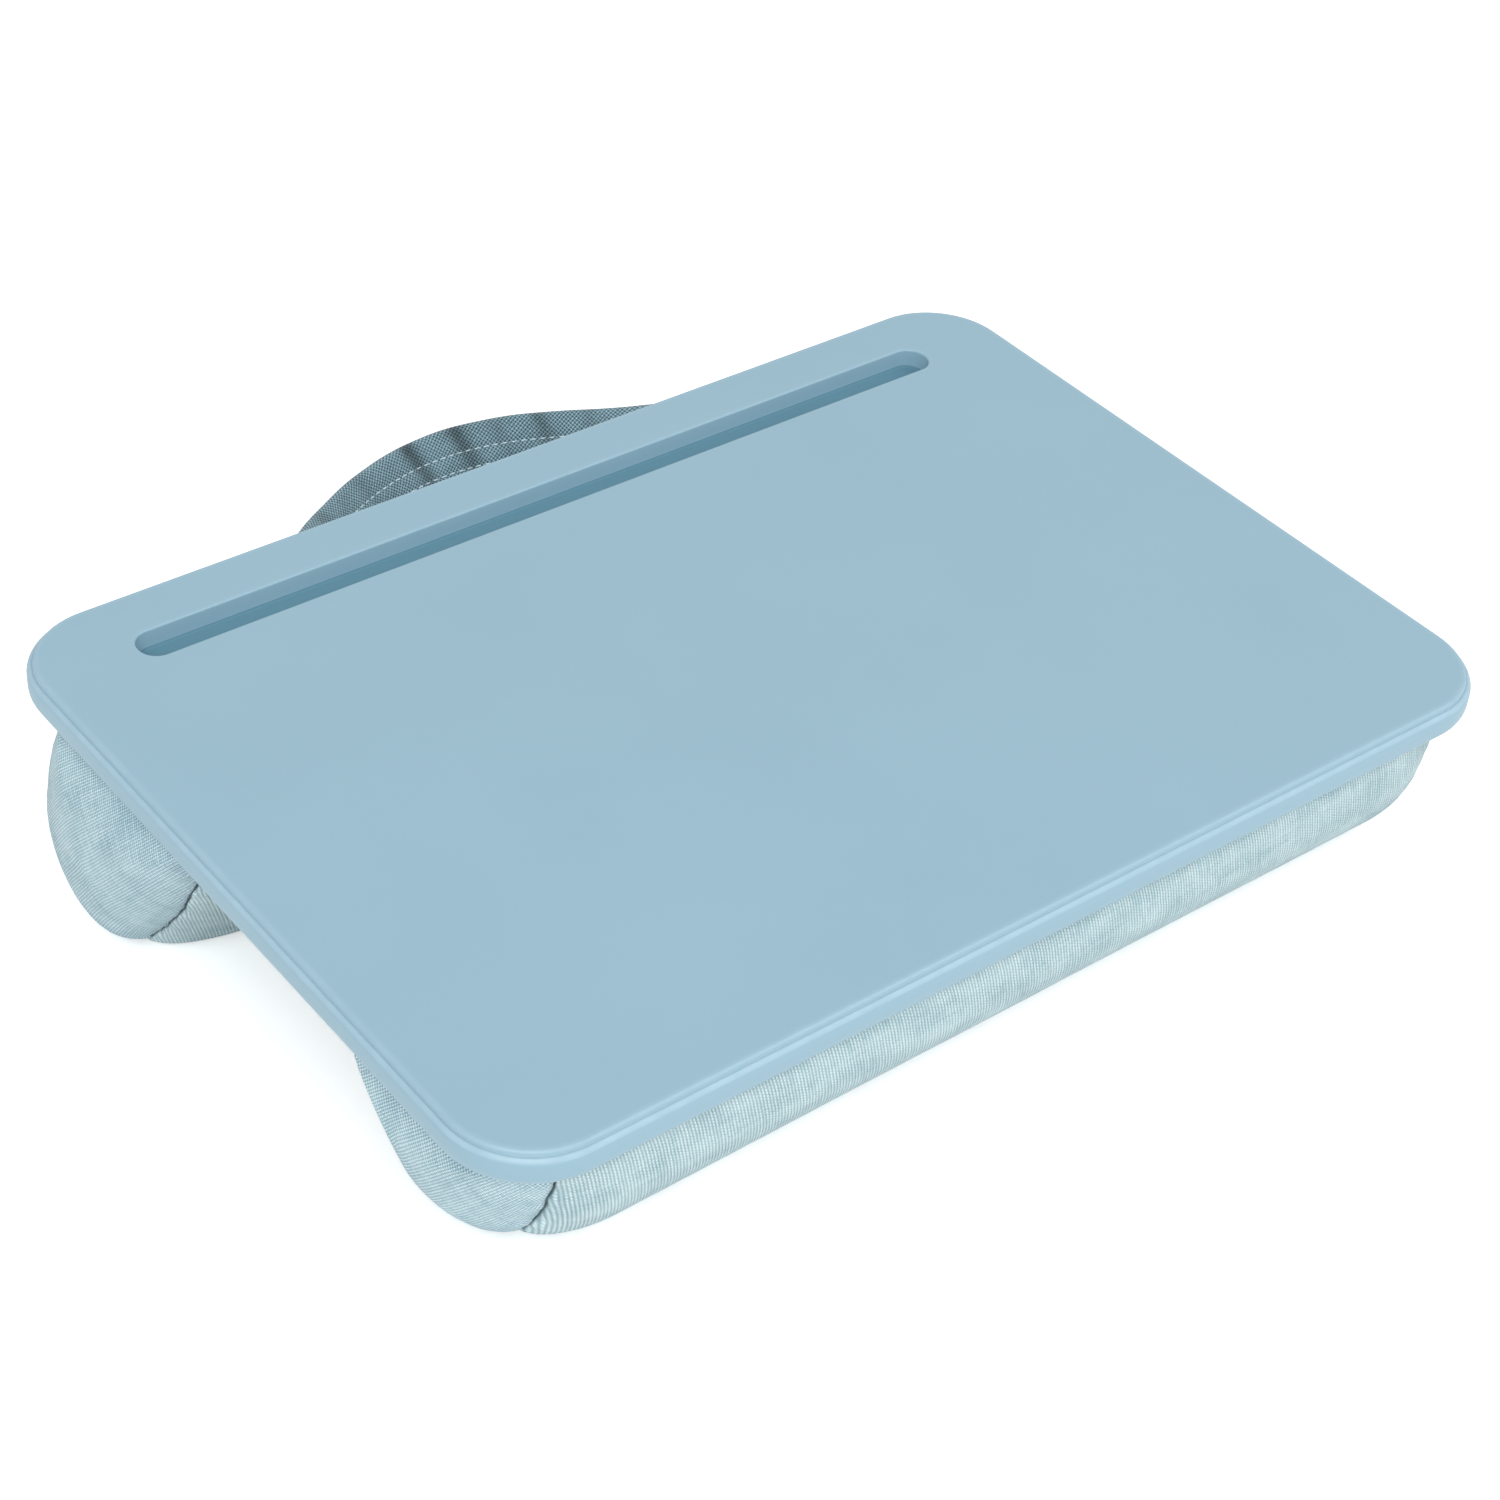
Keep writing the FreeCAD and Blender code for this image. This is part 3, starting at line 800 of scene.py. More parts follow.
def plumped(name, rings):
    """How each ring point moves when the sewn cover is blown up with its top held, and keeps its size."""
    mesh = closed_roll_mesh(name, rings)
    bag = new_object(name, mesh)
    start = np.array([vertex.co for vertex in mesh.vertices])
    held = [int(index) for index in np.nonzero(start[:, 2] > cushion_top - held_depth)[0]]
    bag.vertex_groups.new(name="sewn_top").add(held, 1.0, "REPLACE")
    cloth = bag.modifiers.new("plump", "CLOTH")
    cloth.settings.quality = swell_quality
    cloth.settings.mass = cover_mass
    cloth.settings.tension_stiffness = cover_stretch
    cloth.settings.compression_stiffness = cover_stretch
    cloth.settings.bending_stiffness = cover_bend
    cloth.settings.use_pressure = True
    cloth.settings.uniform_pressure_force = bead_pressure
    cloth.settings.effector_weights.gravity = 0.0
    cloth.settings.vertex_group_mass = "sewn_top"
    cloth.point_cache.frame_end = swell_frames
    for step in range(1, swell_frames + 1):
        bpy.context.scene.frame_set(step)
    graph = bpy.context.evaluated_depsgraph_get()
    blown = bpy.data.meshes.new_from_object(bag.evaluated_get(graph))
    move = np.array([vertex.co for vertex in blown.vertices]) - start
    bpy.data.objects.remove(bag)
    bpy.data.meshes.remove(mesh)
    bpy.data.meshes.remove(blown)
    bpy.context.scene.frame_set(1)
    length = np.linalg.norm(move, axis=1, keepdims=True)
    move *= np.minimum(1.0, most_swell / np.maximum(length, most_swell))
    move = move[:-2].reshape(rings.shape)
    normals = ring_normals(rings)
    return move - normals * (move * normals).sum(2).mean()


def smooth_between(values, places):
    """Values at fractional places along the first axis, by cubic interpolation."""
    last = len(values) - 1
    places = np.clip(places, 0, last)
    base = np.minimum(places.astype(int), last - 1)
    part = (places - base).reshape((-1,) + (1,) * (values.ndim - 1))
    before, here, after, beyond = (values[np.clip(base + shift, 0, last)] for shift in (-1, 0, 1, 2))
    return 0.5 * (2 * here + (after - before) * part
                  + (2 * before - 5 * here + 4 * after - beyond) * part ** 2
                  + (3 * here - before - 3 * after + beyond) * part ** 3)


def finer_move(move, coarse_distances, fine_distances):
    """A coarse swelling carried over to finer rings and columns."""
    places = np.interp(fine_distances, coarse_distances, np.arange(len(coarse_distances)))
    rings = smooth_between(move, places).swapaxes(0, 1)
    wrapped = np.concatenate((rings[-2:], rings, rings[:3]))
    columns = 2 + np.arange(len(rings) * finer_columns) / finer_columns
    return smooth_between(wrapped, columns).swapaxes(0, 1)


def ring_normals(rings):
    """Outward directions on a grid of rings."""
    along = np.gradient(rings, axis=0)
    wrapped = np.concatenate((rings[:, -1:], rings, rings[:, :1]), 1)
    around = (wrapped[:, 2:] - wrapped[:, :-2]) / 2
    normals = np.cross(around, along)
    normals /= np.maximum(np.linalg.norm(normals, axis=2, keepdims=True), least_length)
    outward = rings - rings.mean(1, keepdims=True)
    if (normals * outward)[len(rings) // 2].sum() < 0:
        normals = -normals
    return normals


def grid_mesh(name, rings, maps, shade, ends=()):
    """Faces between rings of points, with their map and shade; maps has one more column to close on.
    A ring named in ends is closed by a fan to its middle."""
    count, columns = rings.shape[:2]
    points = rings.reshape(-1, 3).tolist()
    shades = shade.ravel().tolist()
    faces = []
    corners = []
    for ring in range(count - 1):
        for column in range(columns):
            following = (column + 1) % columns
            faces.append((ring * columns + column, (ring + 1) * columns + column,
                          (ring + 1) * columns + following, ring * columns + following))
            corners += [maps[ring, column], maps[ring + 1, column],
                        maps[ring + 1, column + 1], maps[ring, column + 1]]
    for ring in ends:
        points.append(rings[ring].mean(0).tolist())
        shades.append(float(shade[ring].mean()))
        first = (ring % count) * columns
        for column in range(columns):
            faces.append((len(points) - 1, first + column, first + (column + 1) % columns))
            corners += [maps[ring].mean(0), maps[ring, column], maps[ring, column + 1]]
    mesh = bpy.data.meshes.new(name)
    mesh.from_pydata(points, [], faces)
    layer = mesh.uv_layers.new(name="cloth")
    layer.data.foreach_set("uv", np.array(corners, np.float32).ravel())
    mesh.attributes.new("cloth_shade", "FLOAT", "POINT").data.foreach_set("value", shades)
    face_outwards(mesh)
    return mesh


def rest_on_floor(piece, lift=0.0):
    """Flatten a cushion where it stands."""
    for vertex in piece.data.vertices:
        vertex.co.z = max(vertex.co.z, lift)


def spun_liner(name, white, grey):
    """Spun-bonded liner cloth: embossed dots in a square grid."""
    material, tree, shader = new_finish(name, Roughness=liner_rough, Sheen_Weight=liner_sheen)
    place = put(tree, "ShaderNodeTexCoord").outputs["Object"]
    dots = put(tree, "ShaderNodeTexVoronoi", {"Vector": place, **liner_dots}, feature="F1")
    dots = levels(tree, dots.outputs["Distance"], *liner_dot_band)
    colour_and_relief(tree, shader, between(tree, dots, grey, white), dots, liner_relief)
    return material


def loose_beads(name, white, grey):
    """Loose expanded beads, as they press on the liner."""
    material, tree, shader = new_finish(name, Roughness=bead_rough)
    place = put(tree, "ShaderNodeTexCoord").outputs["Object"]
    beads = put(tree, "ShaderNodeTexVoronoi", {"Vector": place, "Scale": bead_scale}, feature="F1")
    height = levels(tree, beads.outputs["Distance"], 0.0, bead_edge, 1.0, 0.0)
    colour_and_relief(tree, shader, between(tree, height, grey, white), height, bead_relief)
    return material


def waves(run, lengths, start):
    """Two waves along a run, the second the weaker."""
    first, second = lengths
    weaker = weak_wave_share * np.sin(2 * math.pi * run / second + 2 * start)
    return np.sin(2 * math.pi * run / first + start) + weaker


def seam_places(roll):
    """Distances along a roll of its left and its right seam."""
    return roll["cap"], roll_length(roll) - roll["cap"]


def ring_places(roll):
    """Distances along a roll at which it gets a ring: evenly spread, and close together at the seams."""
    whole = roll_length(roll)
    spread = np.linspace(fine_step, whole - fine_step, round(whole / fine_step))
    clear = np.all([abs(spread - seam) > seam_zone + fine_step / 2 for seam in seam_places(roll)], 0)
    seam_shares = np.linspace(-1, 1, seam_rings)
    near_seam = seam_zone * seam_shares * abs(seam_shares)
    return np.sort(np.concatenate([spread[clear]] + [seam + near_seam for seam in seam_places(roll)]))


def filled_move(name, roll, distances):
    """How the points of a roll's rings move when its cover is filled, from a coarser simulation."""
    whole = roll_length(roll)
    coarse_distances = np.linspace(coarse_step, whole - coarse_step, round(whole / coarse_step) - 1)
    swell = plumped(name, roll_rings(roll, coarse_distances, coarse_columns))
    return finer_move(swell, coarse_distances, distances)


def sew_seams(roll, distances, rings):
    """The rings with both seams drawn in, wandering and puckered, and the shade of each point."""
    outline = roll_outline(roll["end"], fine_columns)
    steps = np.linalg.norm(np.roll(outline, -1, 0) - outline, axis=1)
    run = np.concatenate(([0.0], np.cumsum(steps)))[:-1]
    wander = seam_wander * waves(run, seam_wander_waves, roll["wave_start"])
    gathers = waves(run, pucker_waves, pucker_start * roll["wave_start"])
    normals = ring_normals(rings)
    sewn = rings.copy()
    shade = np.zeros(rings.shape[:2])
    for seam in seam_places(roll):
        away = (distances - seam)[:, None]
        in_seam = np.exp(-(away / seam_reach) ** 2)
        fold = pucker_height * gathers * np.exp(-abs(away) / pucker_reach) * (1 - in_seam)
        sewn += normals * (fold - seam_depth * in_seam)[:, :, None]
        sewn[:, :, 0] += wander * np.exp(-(away / seam_wander_reach) ** 2)
        # Painted shade along the seam.
        shade += np.exp(-(away / seam_shade_reach) ** 2)
    return sewn, shade


def panel_maps(roll, rings):
    """Flat cloth map of each cover panel, in metres: the main panel by its length and girth, and the
    ends by the distance and direction from their middle."""
    around = np.linalg.norm(np.diff(roll_outline(roll["middle"], fine_columns), axis=0), axis=1)
    around = np.concatenate(([0.0], np.cumsum(around), [around.sum() + around[-1]]))
    across = np.concatenate((rings[:, :, 0], rings[:, :1, 0]), 1)
    maps = {"main_panel": np.stack((across + roll["skew"] * around,
                                    np.broadcast_to(around, across.shape)), 2)}
    outline = roll_outline(roll["end"], fine_columns)
    away = outline - (outline.min(0) + outline.max(0)) / 2
    angle = np.arctan2(away[:, 1], away[:, 0]) + end_weave_turn
    heading = np.stack((np.cos(angle), np.sin(angle)), 1)
    along = np.linalg.norm(np.diff(rings, axis=0), axis=2)
    along = np.concatenate((np.zeros((1, rings.shape[1])), np.cumsum(along, 0)))
    for panel, run, pole in (("left_end", along, 0), ("right_end", along[-1] - along, -1)):
        run = run + np.linalg.norm(rings[pole] - rings[pole].mean(0), axis=1)
        flat = run[:, :, None] * heading
        maps[panel] = np.concatenate((flat, flat[:, :1]), 1)
    return maps


def sewn_panel(name, rows, maps, shade, sewn_edges, poles):
    """Mesh of one cover panel, with a narrow lip turned in along each sewn edge."""
    for edge in sewn_edges:
        inside = rows[edge].mean(0) - rows[edge]
        inside /= np.linalg.norm(inside, axis=1, keepdims=True)
        lip = rows[edge] + inside * seam_lip
        rows[edge][:, 0] += seam_hair * np.sign(rows[len(rows) // 2, 0, 0] - rows[edge, 0, 0])
        place = 0 if edge == 0 else len(rows)
        rows = np.insert(rows, place, lip, 0)
        maps = np.insert(maps, place, maps[edge], 0)
        shade = np.insert(shade, place, shade[edge], 0)
    return grid_mesh(name, rows, maps, shade, poles)


canvas = woven_cloth("slubbed_canvas", canvas_pitch, canvas_light, canvas_dark, canvas_slub, canvas_depth,
                     canvas_cross_share, canvas_cross_pitch, canvas_dive)
end_canvas = woven_cloth("fine_canvas", end_canvas_pitch, end_canvas_light, end_canvas_dark, canvas_slub,
                         end_canvas_depth)
liner_finish = spun_liner("spun_liner", liner_white, liner_grey)
bead_finish = loose_beads("loose_beads", bead_white, bead_grey)
fine_columns = tuple(count * finer_columns for count in coarse_columns)

for roll_name, roll in (("front_bolster", front_roll), ("rear_bolster", rear_roll)):
    distances = ring_places(roll)
    smooth_rings = roll_rings(roll, distances, fine_columns)
    smooth_rings += filled_move(roll_name + "_bag", roll, distances)
    smooth_rings[:, :, 2] = np.minimum(smooth_rings[:, :, 2], cushion_top - lid_gap)
    rings, shade = sew_seams(roll, distances, smooth_rings)
    maps = panel_maps(roll, smooth_rings)
    left_seam, right_seam = (int(np.argmin(abs(distances - seam))) for seam in seam_places(roll))
    panels = (("main_panel", slice(left_seam, right_seam + 1), (0, -1), (), canvas),
              ("left_end", slice(0, left_seam + 1), (-1,), (0,), end_canvas),
              ("right_end", slice(right_seam, None), (0,), (-1,), end_canvas))
    made = {}
    for panel, part, sewn_edges, poles, weave in panels:
        node = roll_name + "_cover_" + panel
        cover = sewn_panel(node + "_canvas", rings[part].copy(), maps[panel][part], shade[part],
                           sewn_edges, poles)
        made[node] = lay_on_board(node + "_canvas", cover, weave)
        rest_on_floor(made[node])
    core_point = smooth_rings.mean((0, 1))
    half_height = cushion_top - core_point[2]
    reaches = np.array((smooth_rings[:, :, 0].max(), half_height, half_height))
    for part, gap, finish in (("liner", liner_gap, liner_finish), ("fill", fill_gap, bead_finish)):
        inner = core_point + (smooth_rings - core_point) * (1 - gap / reaches)
        body = closed_roll_mesh(roll_name + "_" + part, inner[::inner_skip, ::inner_skip])
        node = roll_name + "_bead_" + part
        made[node] = lay_on_board(node + "_bag", body, finish)
        rest_on_floor(made[node], gap)
    for node, piece in made.items():
        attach(piece, "tray")
        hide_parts(node)


# Strap handle: a band of grey-teal cloth folded round a webbing core and sewn with two rows of light
# thread, arched behind the rear edge. Both ends fold under the board and are screwed flat there.
strap_width = 0.028
strap_thick = 0.003
strap_root_x = 0.065
strap_reach = 0.0361
strap_sag = 0.0178
sag_power = 5.4
strap_lean = math.radians(55.0)
lean_power = 3.8
fold_gap = 0.0026
fold_ease = 0.012
tail_bend = 0.018
tail_end_y = 0.1093
strap_step = 0.0012
strap_rows = (0.005, -0.0009)
row_pinch = 0.00045
row_reach = 0.0011
pad_swell = 0.00025
edge_steps = 6
face_steps = 24
edge_wave = 0.0001
edge_waves = (0.0283, 0.107)
edge_wave_start = 1.0
crease_shares = (-0.72, -0.40, -0.099, 0.133, 0.31, 0.503, 0.72)
crease_depths = (0.0002, 0.0002, 0.0006, 0.00055, 0.0002, 0.00035, 0.0002)
crease_width = 0.0031
crease_slant = -0.3
crease_inner_share = 0.35
crease_edge_power = 4
crease_shade = 0.78
strap_light = (0.345, 0.555, 0.650, 1.0)
strap_dark = (0.004, 0.016, 0.024, 1.0)
strap_pitch = 0.00105
strap_slub = 0.14
strap_depth = 0.0004
strap_bias = math.pi / 4
strap_thread = (0.66, 0.77, 0.80, 1.0)
strap_stitch = 0.0025
strap_stitch_step = 0.0033
strap_thread_width = 0.0004
strap_wander = 0.06
strap_seed = 11
strap_row_points = 160
tail_stitch_inset = 0.0035
core_width = 0.022
core_thick = 0.0012
core_end_gap = 0.004
webbing_light = (0.40, 0.40, 0.41, 1.0)
webbing_dark = (0.20, 0.20, 0.21, 1.0)
webbing_pitch = 0.0014
webbing_slub = 0.08
webbing_depth = 0.0003
webbing_cross_share = 0.5

fold_y = board_depth / 2 + fold_gap
fold_z = -board_thick - strap_thick / 2
strap_radius = (strap_root_x ** 2 + strap_reach ** 2) / (2 * strap_reach)
strap_centre_y = fold_y + strap_reach - strap_radius
root_angle = math.asin(strap_root_x / strap_radius)
arch_half = strap_radius * root_angle
bend_run = tail_bend * (math.pi / 2 - root_angle)
straight_run = fold_y - tail_bend * math.cos(root_angle) - tail_end_y
strap_half = arch_half + bend_run + straight_run


def strap_droop(place, power):
    """How far the strap has come from its flat fold, 0, to the top of its arch, 1."""
    return 1 - min(abs(place) / arch_half, 1.0) ** power


def strap_line(place):
    """Middle of the flat strap and its direction outwards, at a distance from the top of its arch."""
    far = abs(place)
    side = math.copysign(1.0, place)
    turn = min(far, arch_half) / strap_radius
    x = strap_radius * math.sin(turn)
    y = strap_centre_y + strap_radius * math.cos(turn)
    if far > arch_half:
        turn += min(far - arch_half, bend_run) / tail_bend
        x += tail_bend * (math.sin(turn) - math.sin(root_angle))
        y += tail_bend * (math.cos(turn) - math.cos(root_angle))
        y -= max(far - arch_half - bend_run, 0.0)
    return np.array((side * x, y, fold_z)), np.array((side * math.sin(turn), math.cos(turn), 0.0))


def sagged(place):
    """Middle of the strap as it sags."""
    return strap_line(place)[0] - (0.0, 0.0, strap_sag * strap_droop(place, sag_power))


def strap_point(place, across, rise):
    """A point of the strap: level under the board, then sagging and leaning once it is past the fold."""
    spot, outward = strap_line(place)
    level = spot + outward * across + (0.0, 0.0, rise)
    run = sagged(place + strap_step) - sagged(place - strap_step)
    run /= np.linalg.norm(run)
    outward = outward - run * outward.dot(run)
    outward /= np.linalg.norm(outward)
    upward = np.cross(run, outward)
    lean = strap_lean * strap_droop(place, lean_power)
    wide = outward * math.cos(lean) + upward * math.sin(lean)
    flat = upward * math.cos(lean) - outward * math.sin(lean)
    share = min(max((level[1] - fold_y) / fold_ease, 0.0), 1.0)
    return level + (sagged(place) + wide * across + flat * rise - level) * share ** 2 * (3 - 2 * share)


def strap_crease(place, across):
    """How creased the cloth is, and how far the whole strap dips there: not at its firm edges."""
    dip = 0.0
    for share, depth in zip(crease_shares, crease_depths):
        off = (place - share * arch_half - crease_slant * across) / crease_width
        dip += depth * math.exp(-off * off)
    outer = min(max(across / strap_width + 0.5, 0.0), 1.0)
    dip *= crease_inner_share + (1 - crease_inner_share) * outer
    return dip, dip * max(1 - (2 * across / strap_width) ** crease_edge_power, 0.0)


def half_thick(place, across):
    """Half thickness of the strap: padded between its rows and pinched along them."""
    half = strap_thick / 2 + pad_swell * strap_droop(place, sag_power)
    for row in strap_rows:
        half -= row_pinch * math.exp(-((across - row) / row_reach) ** 2)
    return half


def core_end(across):
    """Where the webbing core ends, at a distance across it: on a line along the fold, clear of it."""
    level = (strap_radius * math.cos(root_angle) + core_end_gap) / (strap_radius + across)
    return strap_radius * min(math.acos(level), root_angle)


def strap_loop(place, width, thick, shaped):
    """Points round the strap's section, out over the upper face, round the edge and back below, each
    with its share of the deepest crease."""
    straight = width / 2 - thick / 2
    wave = 0.0
    if shaped:
        wave = edge_wave * math.prod(math.sin(2 * math.pi * place / length + edge_wave_start)
                                     for length in edge_waves)
    loop = []

    def add(across, bulge, rise):
        spot = place if shaped else place * core_end(across + bulge) / strap_core_half
        crease, dip = strap_crease(spot, across)
        point = strap_point(spot, across + bulge, rise - dip)
        loop.append(np.append(point, crease / max(crease_depths)))

    for side in (1, -1):
        for step in range(face_steps):
            across = side * straight * (2 * step / face_steps - 1)
            add(across, 0.0, side * (half_thick(place, across) if shaped else thick / 2))
        end_rise = half_thick(place, side * straight) if shaped else thick / 2
        for step in range(edge_steps):
            turn = math.pi * step / edge_steps
            bulge = (thick / 2 + wave) * math.sin(turn)
            add(side * straight, side * bulge, side * end_rise * math.cos(turn))
    return loop


def band_mesh(name, ends, width, thick, shaped, turn):
    """A closed band along the strap between two places, with its cloth map turned on the bias."""
    places = np.linspace(-ends, ends, round(2 * ends / strap_step))
    loops = np.array([strap_loop(place, width, thick, shaped) for place in places])
    # Painted shade in the creases.
    creased = loops[:, :, 3] * crease_shade
    loops = loops[:, :, :3]
    tail = (loops[:, :, 1] < board_depth / 2) & (abs(loops[:, :, 0]) > strap_root_x / 2)
    loops[:, :, 2] = np.where(tail, np.minimum(loops[:, :, 2], -board_thick), loops[:, :, 2])
    around = np.linalg.norm(np.diff(loops, axis=1, append=loops[:, :1]), axis=2).mean(0)
    around = np.concatenate(([0.0], np.cumsum(around)))
    along, across = np.meshgrid(places, around, indexing="ij")
    maps = np.stack((along * math.cos(turn) - across * math.sin(turn),
                     along * math.sin(turn) + across * math.cos(turn)), 2)
    return grid_mesh(name, loops, maps, creased, (0, -1))


def strap_row(across, side):
    """Points of one stitch row on the upper or the lower face of the strap."""
    row_half = strap_half - tail_stitch_inset
    row = []
    for place in np.linspace(-row_half, row_half, strap_row_points):
        dip = strap_crease(place, across)[1]
        row.append(strap_point(place, across, side * half_thick(place, across) - dip))
    return row


strap_core_half = core_end(core_width / 2)
strap_weave = woven_cloth("strap_weave", strap_pitch, strap_light, strap_dark, strap_slub, strap_depth)
strap_mesh = band_mesh("handle_strap_band", strap_half, strap_width, strap_thick, True, strap_bias)
strap = lay_on_board("handle_strap_band", strap_mesh, strap_weave)
webbing_weave = woven_cloth("webbing_weave", webbing_pitch, webbing_light, webbing_dark, webbing_slub,
                            webbing_depth, webbing_cross_share)
webbing_mesh = band_mesh("handle_webbing", strap_core_half, core_width, core_thick, False, 0.0)
webbing = lay_on_board("handle_webbing", webbing_mesh, webbing_weave)
light_thread = sewing_thread("light_strap_thread", strap_thread)
row_lines = rows_mesh("strap_rows", [strap_row(across, side) for across in strap_rows for side in (1, -1)])
strap_stitches = made_by_nodes("handle_strap_stitches", row_lines, stitches, Step=strap_stitch_step,
                               Stitch_length=strap_stitch, Thread_width=strap_thread_width,
                               Wander=strap_wander, Seed=strap_seed, Thread=light_thread)
for piece in (strap, strap_stitches):
    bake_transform(piece)
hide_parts("handle_strap", "handle_left_tail", "handle_right_tail")
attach(webbing, "handle")
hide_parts("handle_webbing_core")


# Screws and washers: two pan-head screws through each end of the strap, each on a flat washer.
# They are zinc-plated steel with a cross recess, driven up into the core from below.
screw_x_near = 0.0574
screw_x_far = 0.0714
screw_y = 0.1183
head_width = 0.0066
head_height = 0.0022
shank_width = 0.0032
shank_length = 0.0113
recess_width = 0.0009
recess_length = 0.0036
recess_depth = 0.0012
washer_width = 0.010
washer_bore = 0.0036
washer_thick = 0.0008
washer_round = 0.00015
head_sides = 32
head_rings = 20
shank_sides = 24
washer_sides = 40
washer_round_steps = 3
cutter_size = 0.02
washer_low = -board_thick - strap_thick - washer_thick


def set_out(tree, given, shape):
    """One copy of a shape at each place, turned to the board's slope, as plain faces."""
    turn = size_of(tree, given["Slope"], 0.0, 0.0)
    laid = put(tree, "GeometryNodeMeshToPoints", {"Mesh": given["Places"]}).outputs["Points"]
    laid = put(tree, "GeometryNodeInstanceOnPoints", {"Points": laid, "Instance": shape, "Rotation": turn})
    laid = put(tree, "GeometryNodeRealizeInstances", {"Geometry": laid.outputs["Instances"]})
    laid = put(tree, "GeometryNodeSetMaterial", {"Geometry": laid.outputs["Geometry"],
                                                 "Material": given["Metal"]})
    put(tree, "NodeGroupOutput", {"Fasteners": laid.outputs["Geometry"]})
    return tree


def screw_tree():
    """Pan-head screws: a domed head with a cross recess, below its seat, and a shank above it."""
    tree = new_tree("pan_head_screws", "Places", ("Slope", "Head width", "Head height", "Shank width",
                                                  "Shank length", "Recess width", "Recess length",
                                                  "Recess depth"), "Metal", "Fasteners")
    given = tree.nodes.new("NodeGroupInput").outputs
    dome = put(tree, "GeometryNodeMeshUVSphere", {"Segments": head_sides, "Rings": head_rings,
                                                  "Radius": unit_radius}).outputs["Mesh"]
    tall = calc(tree, "MULTIPLY", given["Head height"], 2.0)
    dome = put(tree, "GeometryNodeTransform",
               {"Geometry": dome, "Scale": size_of(tree, given["Head width"], given["Head width"], tall)})
    upper = put(tree, "GeometryNodeMeshCube", {"Size": (cutter_size, cutter_size, cutter_size)})
    upper = put(tree, "GeometryNodeTransform", {"Geometry": upper.outputs["Mesh"],
                                                "Translation": (0.0, 0.0, cutter_size / 2)})
    cuts = [upper.outputs["Geometry"]]
    deep = calc(tree, "MULTIPLY", given["Recess depth"], 2.0)
    low = size_of(tree, 0.0, 0.0, calc(tree, "MULTIPLY", given["Head height"], -1.0))
    for side_x, side_y in (("Recess length", "Recess width"), ("Recess width", "Recess length")):
        size = size_of(tree, given[side_x], given[side_y], deep)
        slit = put(tree, "GeometryNodeMeshCube", {"Size": size})
        slit = put(tree, "GeometryNodeTransform", {"Geometry": slit.outputs["Mesh"], "Translation": low})
        cuts.append(slit.outputs["Geometry"])
    head = put(tree, "GeometryNodeMeshBoolean", {"Mesh 1": dome.outputs["Geometry"]},
               operation="DIFFERENCE")
    for cut in cuts:
        tree.links.new(cut, head.inputs["Mesh 2"])
    shank_radius = calc(tree, "DIVIDE", given["Shank width"], 2.0)
    shank = put(tree, "GeometryNodeMeshCylinder", {"Vertices": shank_sides, "Depth": given["Shank length"],
                                                   "Radius": shank_radius})
    up = size_of(tree, 0.0, 0.0, calc(tree, "DIVIDE", given["Shank length"], 2.0))
    shank = put(tree, "GeometryNodeTransform", {"Geometry": shank.outputs["Mesh"], "Translation": up})
    whole = put(tree, "GeometryNodeJoinGeometry", {"Geometry": head.outputs["Mesh"]})
    tree.links.new(shank.outputs["Geometry"], whole.inputs["Geometry"])
    return set_out(tree, given, whole.outputs["Geometry"])


def washer_tree():
    """Flat washers: a small rounded section carried round a circle."""
    tree = new_tree("flat_washers", "Places", ("Slope", "Outer width", "Bore", "Thickness", "Edge round"),
                    "Metal", "Fasteners")
    given = tree.nodes.new("NodeGroupInput").outputs
    wall = calc(tree, "DIVIDE", calc(tree, "SUBTRACT", given["Outer width"], given["Bore"]), 2.0)
    middle = calc(tree, "DIVIDE", calc(tree, "ADD", given["Outer width"], given["Bore"]), 4.0)
    path = put(tree, "GeometryNodeCurvePrimitiveCircle", {"Resolution": washer_sides, "Radius": middle})
    section = put(tree, "GeometryNodeCurvePrimitiveQuadrilateral",
                  {"Width": wall, "Height": given["Thickness"]})
    section = put(tree, "GeometryNodeFilletCurve",
                  {"Curve": section.outputs["Curve"], "Count": washer_round_steps,
                   "Radius": given["Edge round"]}, mode="POLY")
    ring = put(tree, "GeometryNodeCurveToMesh", {"Curve": path.outputs["Curve"],
                                                 "Profile Curve": section.outputs["Curve"]})
    up = size_of(tree, 0.0, 0.0, calc(tree, "DIVIDE", given["Thickness"], 2.0))
    ring = put(tree, "GeometryNodeTransform", {"Geometry": ring.outputs["Mesh"], "Translation": up})
    return set_out(tree, given, ring.outputs["Geometry"])


def seats_mesh(name):
    """One point at the seat of each screw, on the lower face of its washer."""
    seats = [(side * x, screw_y, washer_low) for side in (-1, 1) for x in (screw_x_near, screw_x_far)]
    mesh = bpy.data.meshes.new(name)
    mesh.from_pydata(seats, [], [])
    return mesh


screws = made_by_nodes("handle_pan_head_screws", seats_mesh("screw_seats"), screw_tree(),
                       Slope=board_slope, Head_width=head_width, Head_height=head_height,
                       Shank_width=shank_width, Shank_length=shank_length, Recess_width=recess_width,
                       Recess_length=recess_length, Recess_depth=recess_depth, Metal=plated)
washers = made_by_nodes("handle_flat_washers", seats_mesh("washer_seats"), washer_tree(),
                        Slope=board_slope, Outer_width=washer_width, Bore=washer_bore,
                        Thickness=washer_thick, Edge_round=washer_round, Metal=plated)
for fastener, node in ((screws, "handle_screws"), (washers, "handle_washers")):
    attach(fastener, "tray")
    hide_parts(node)


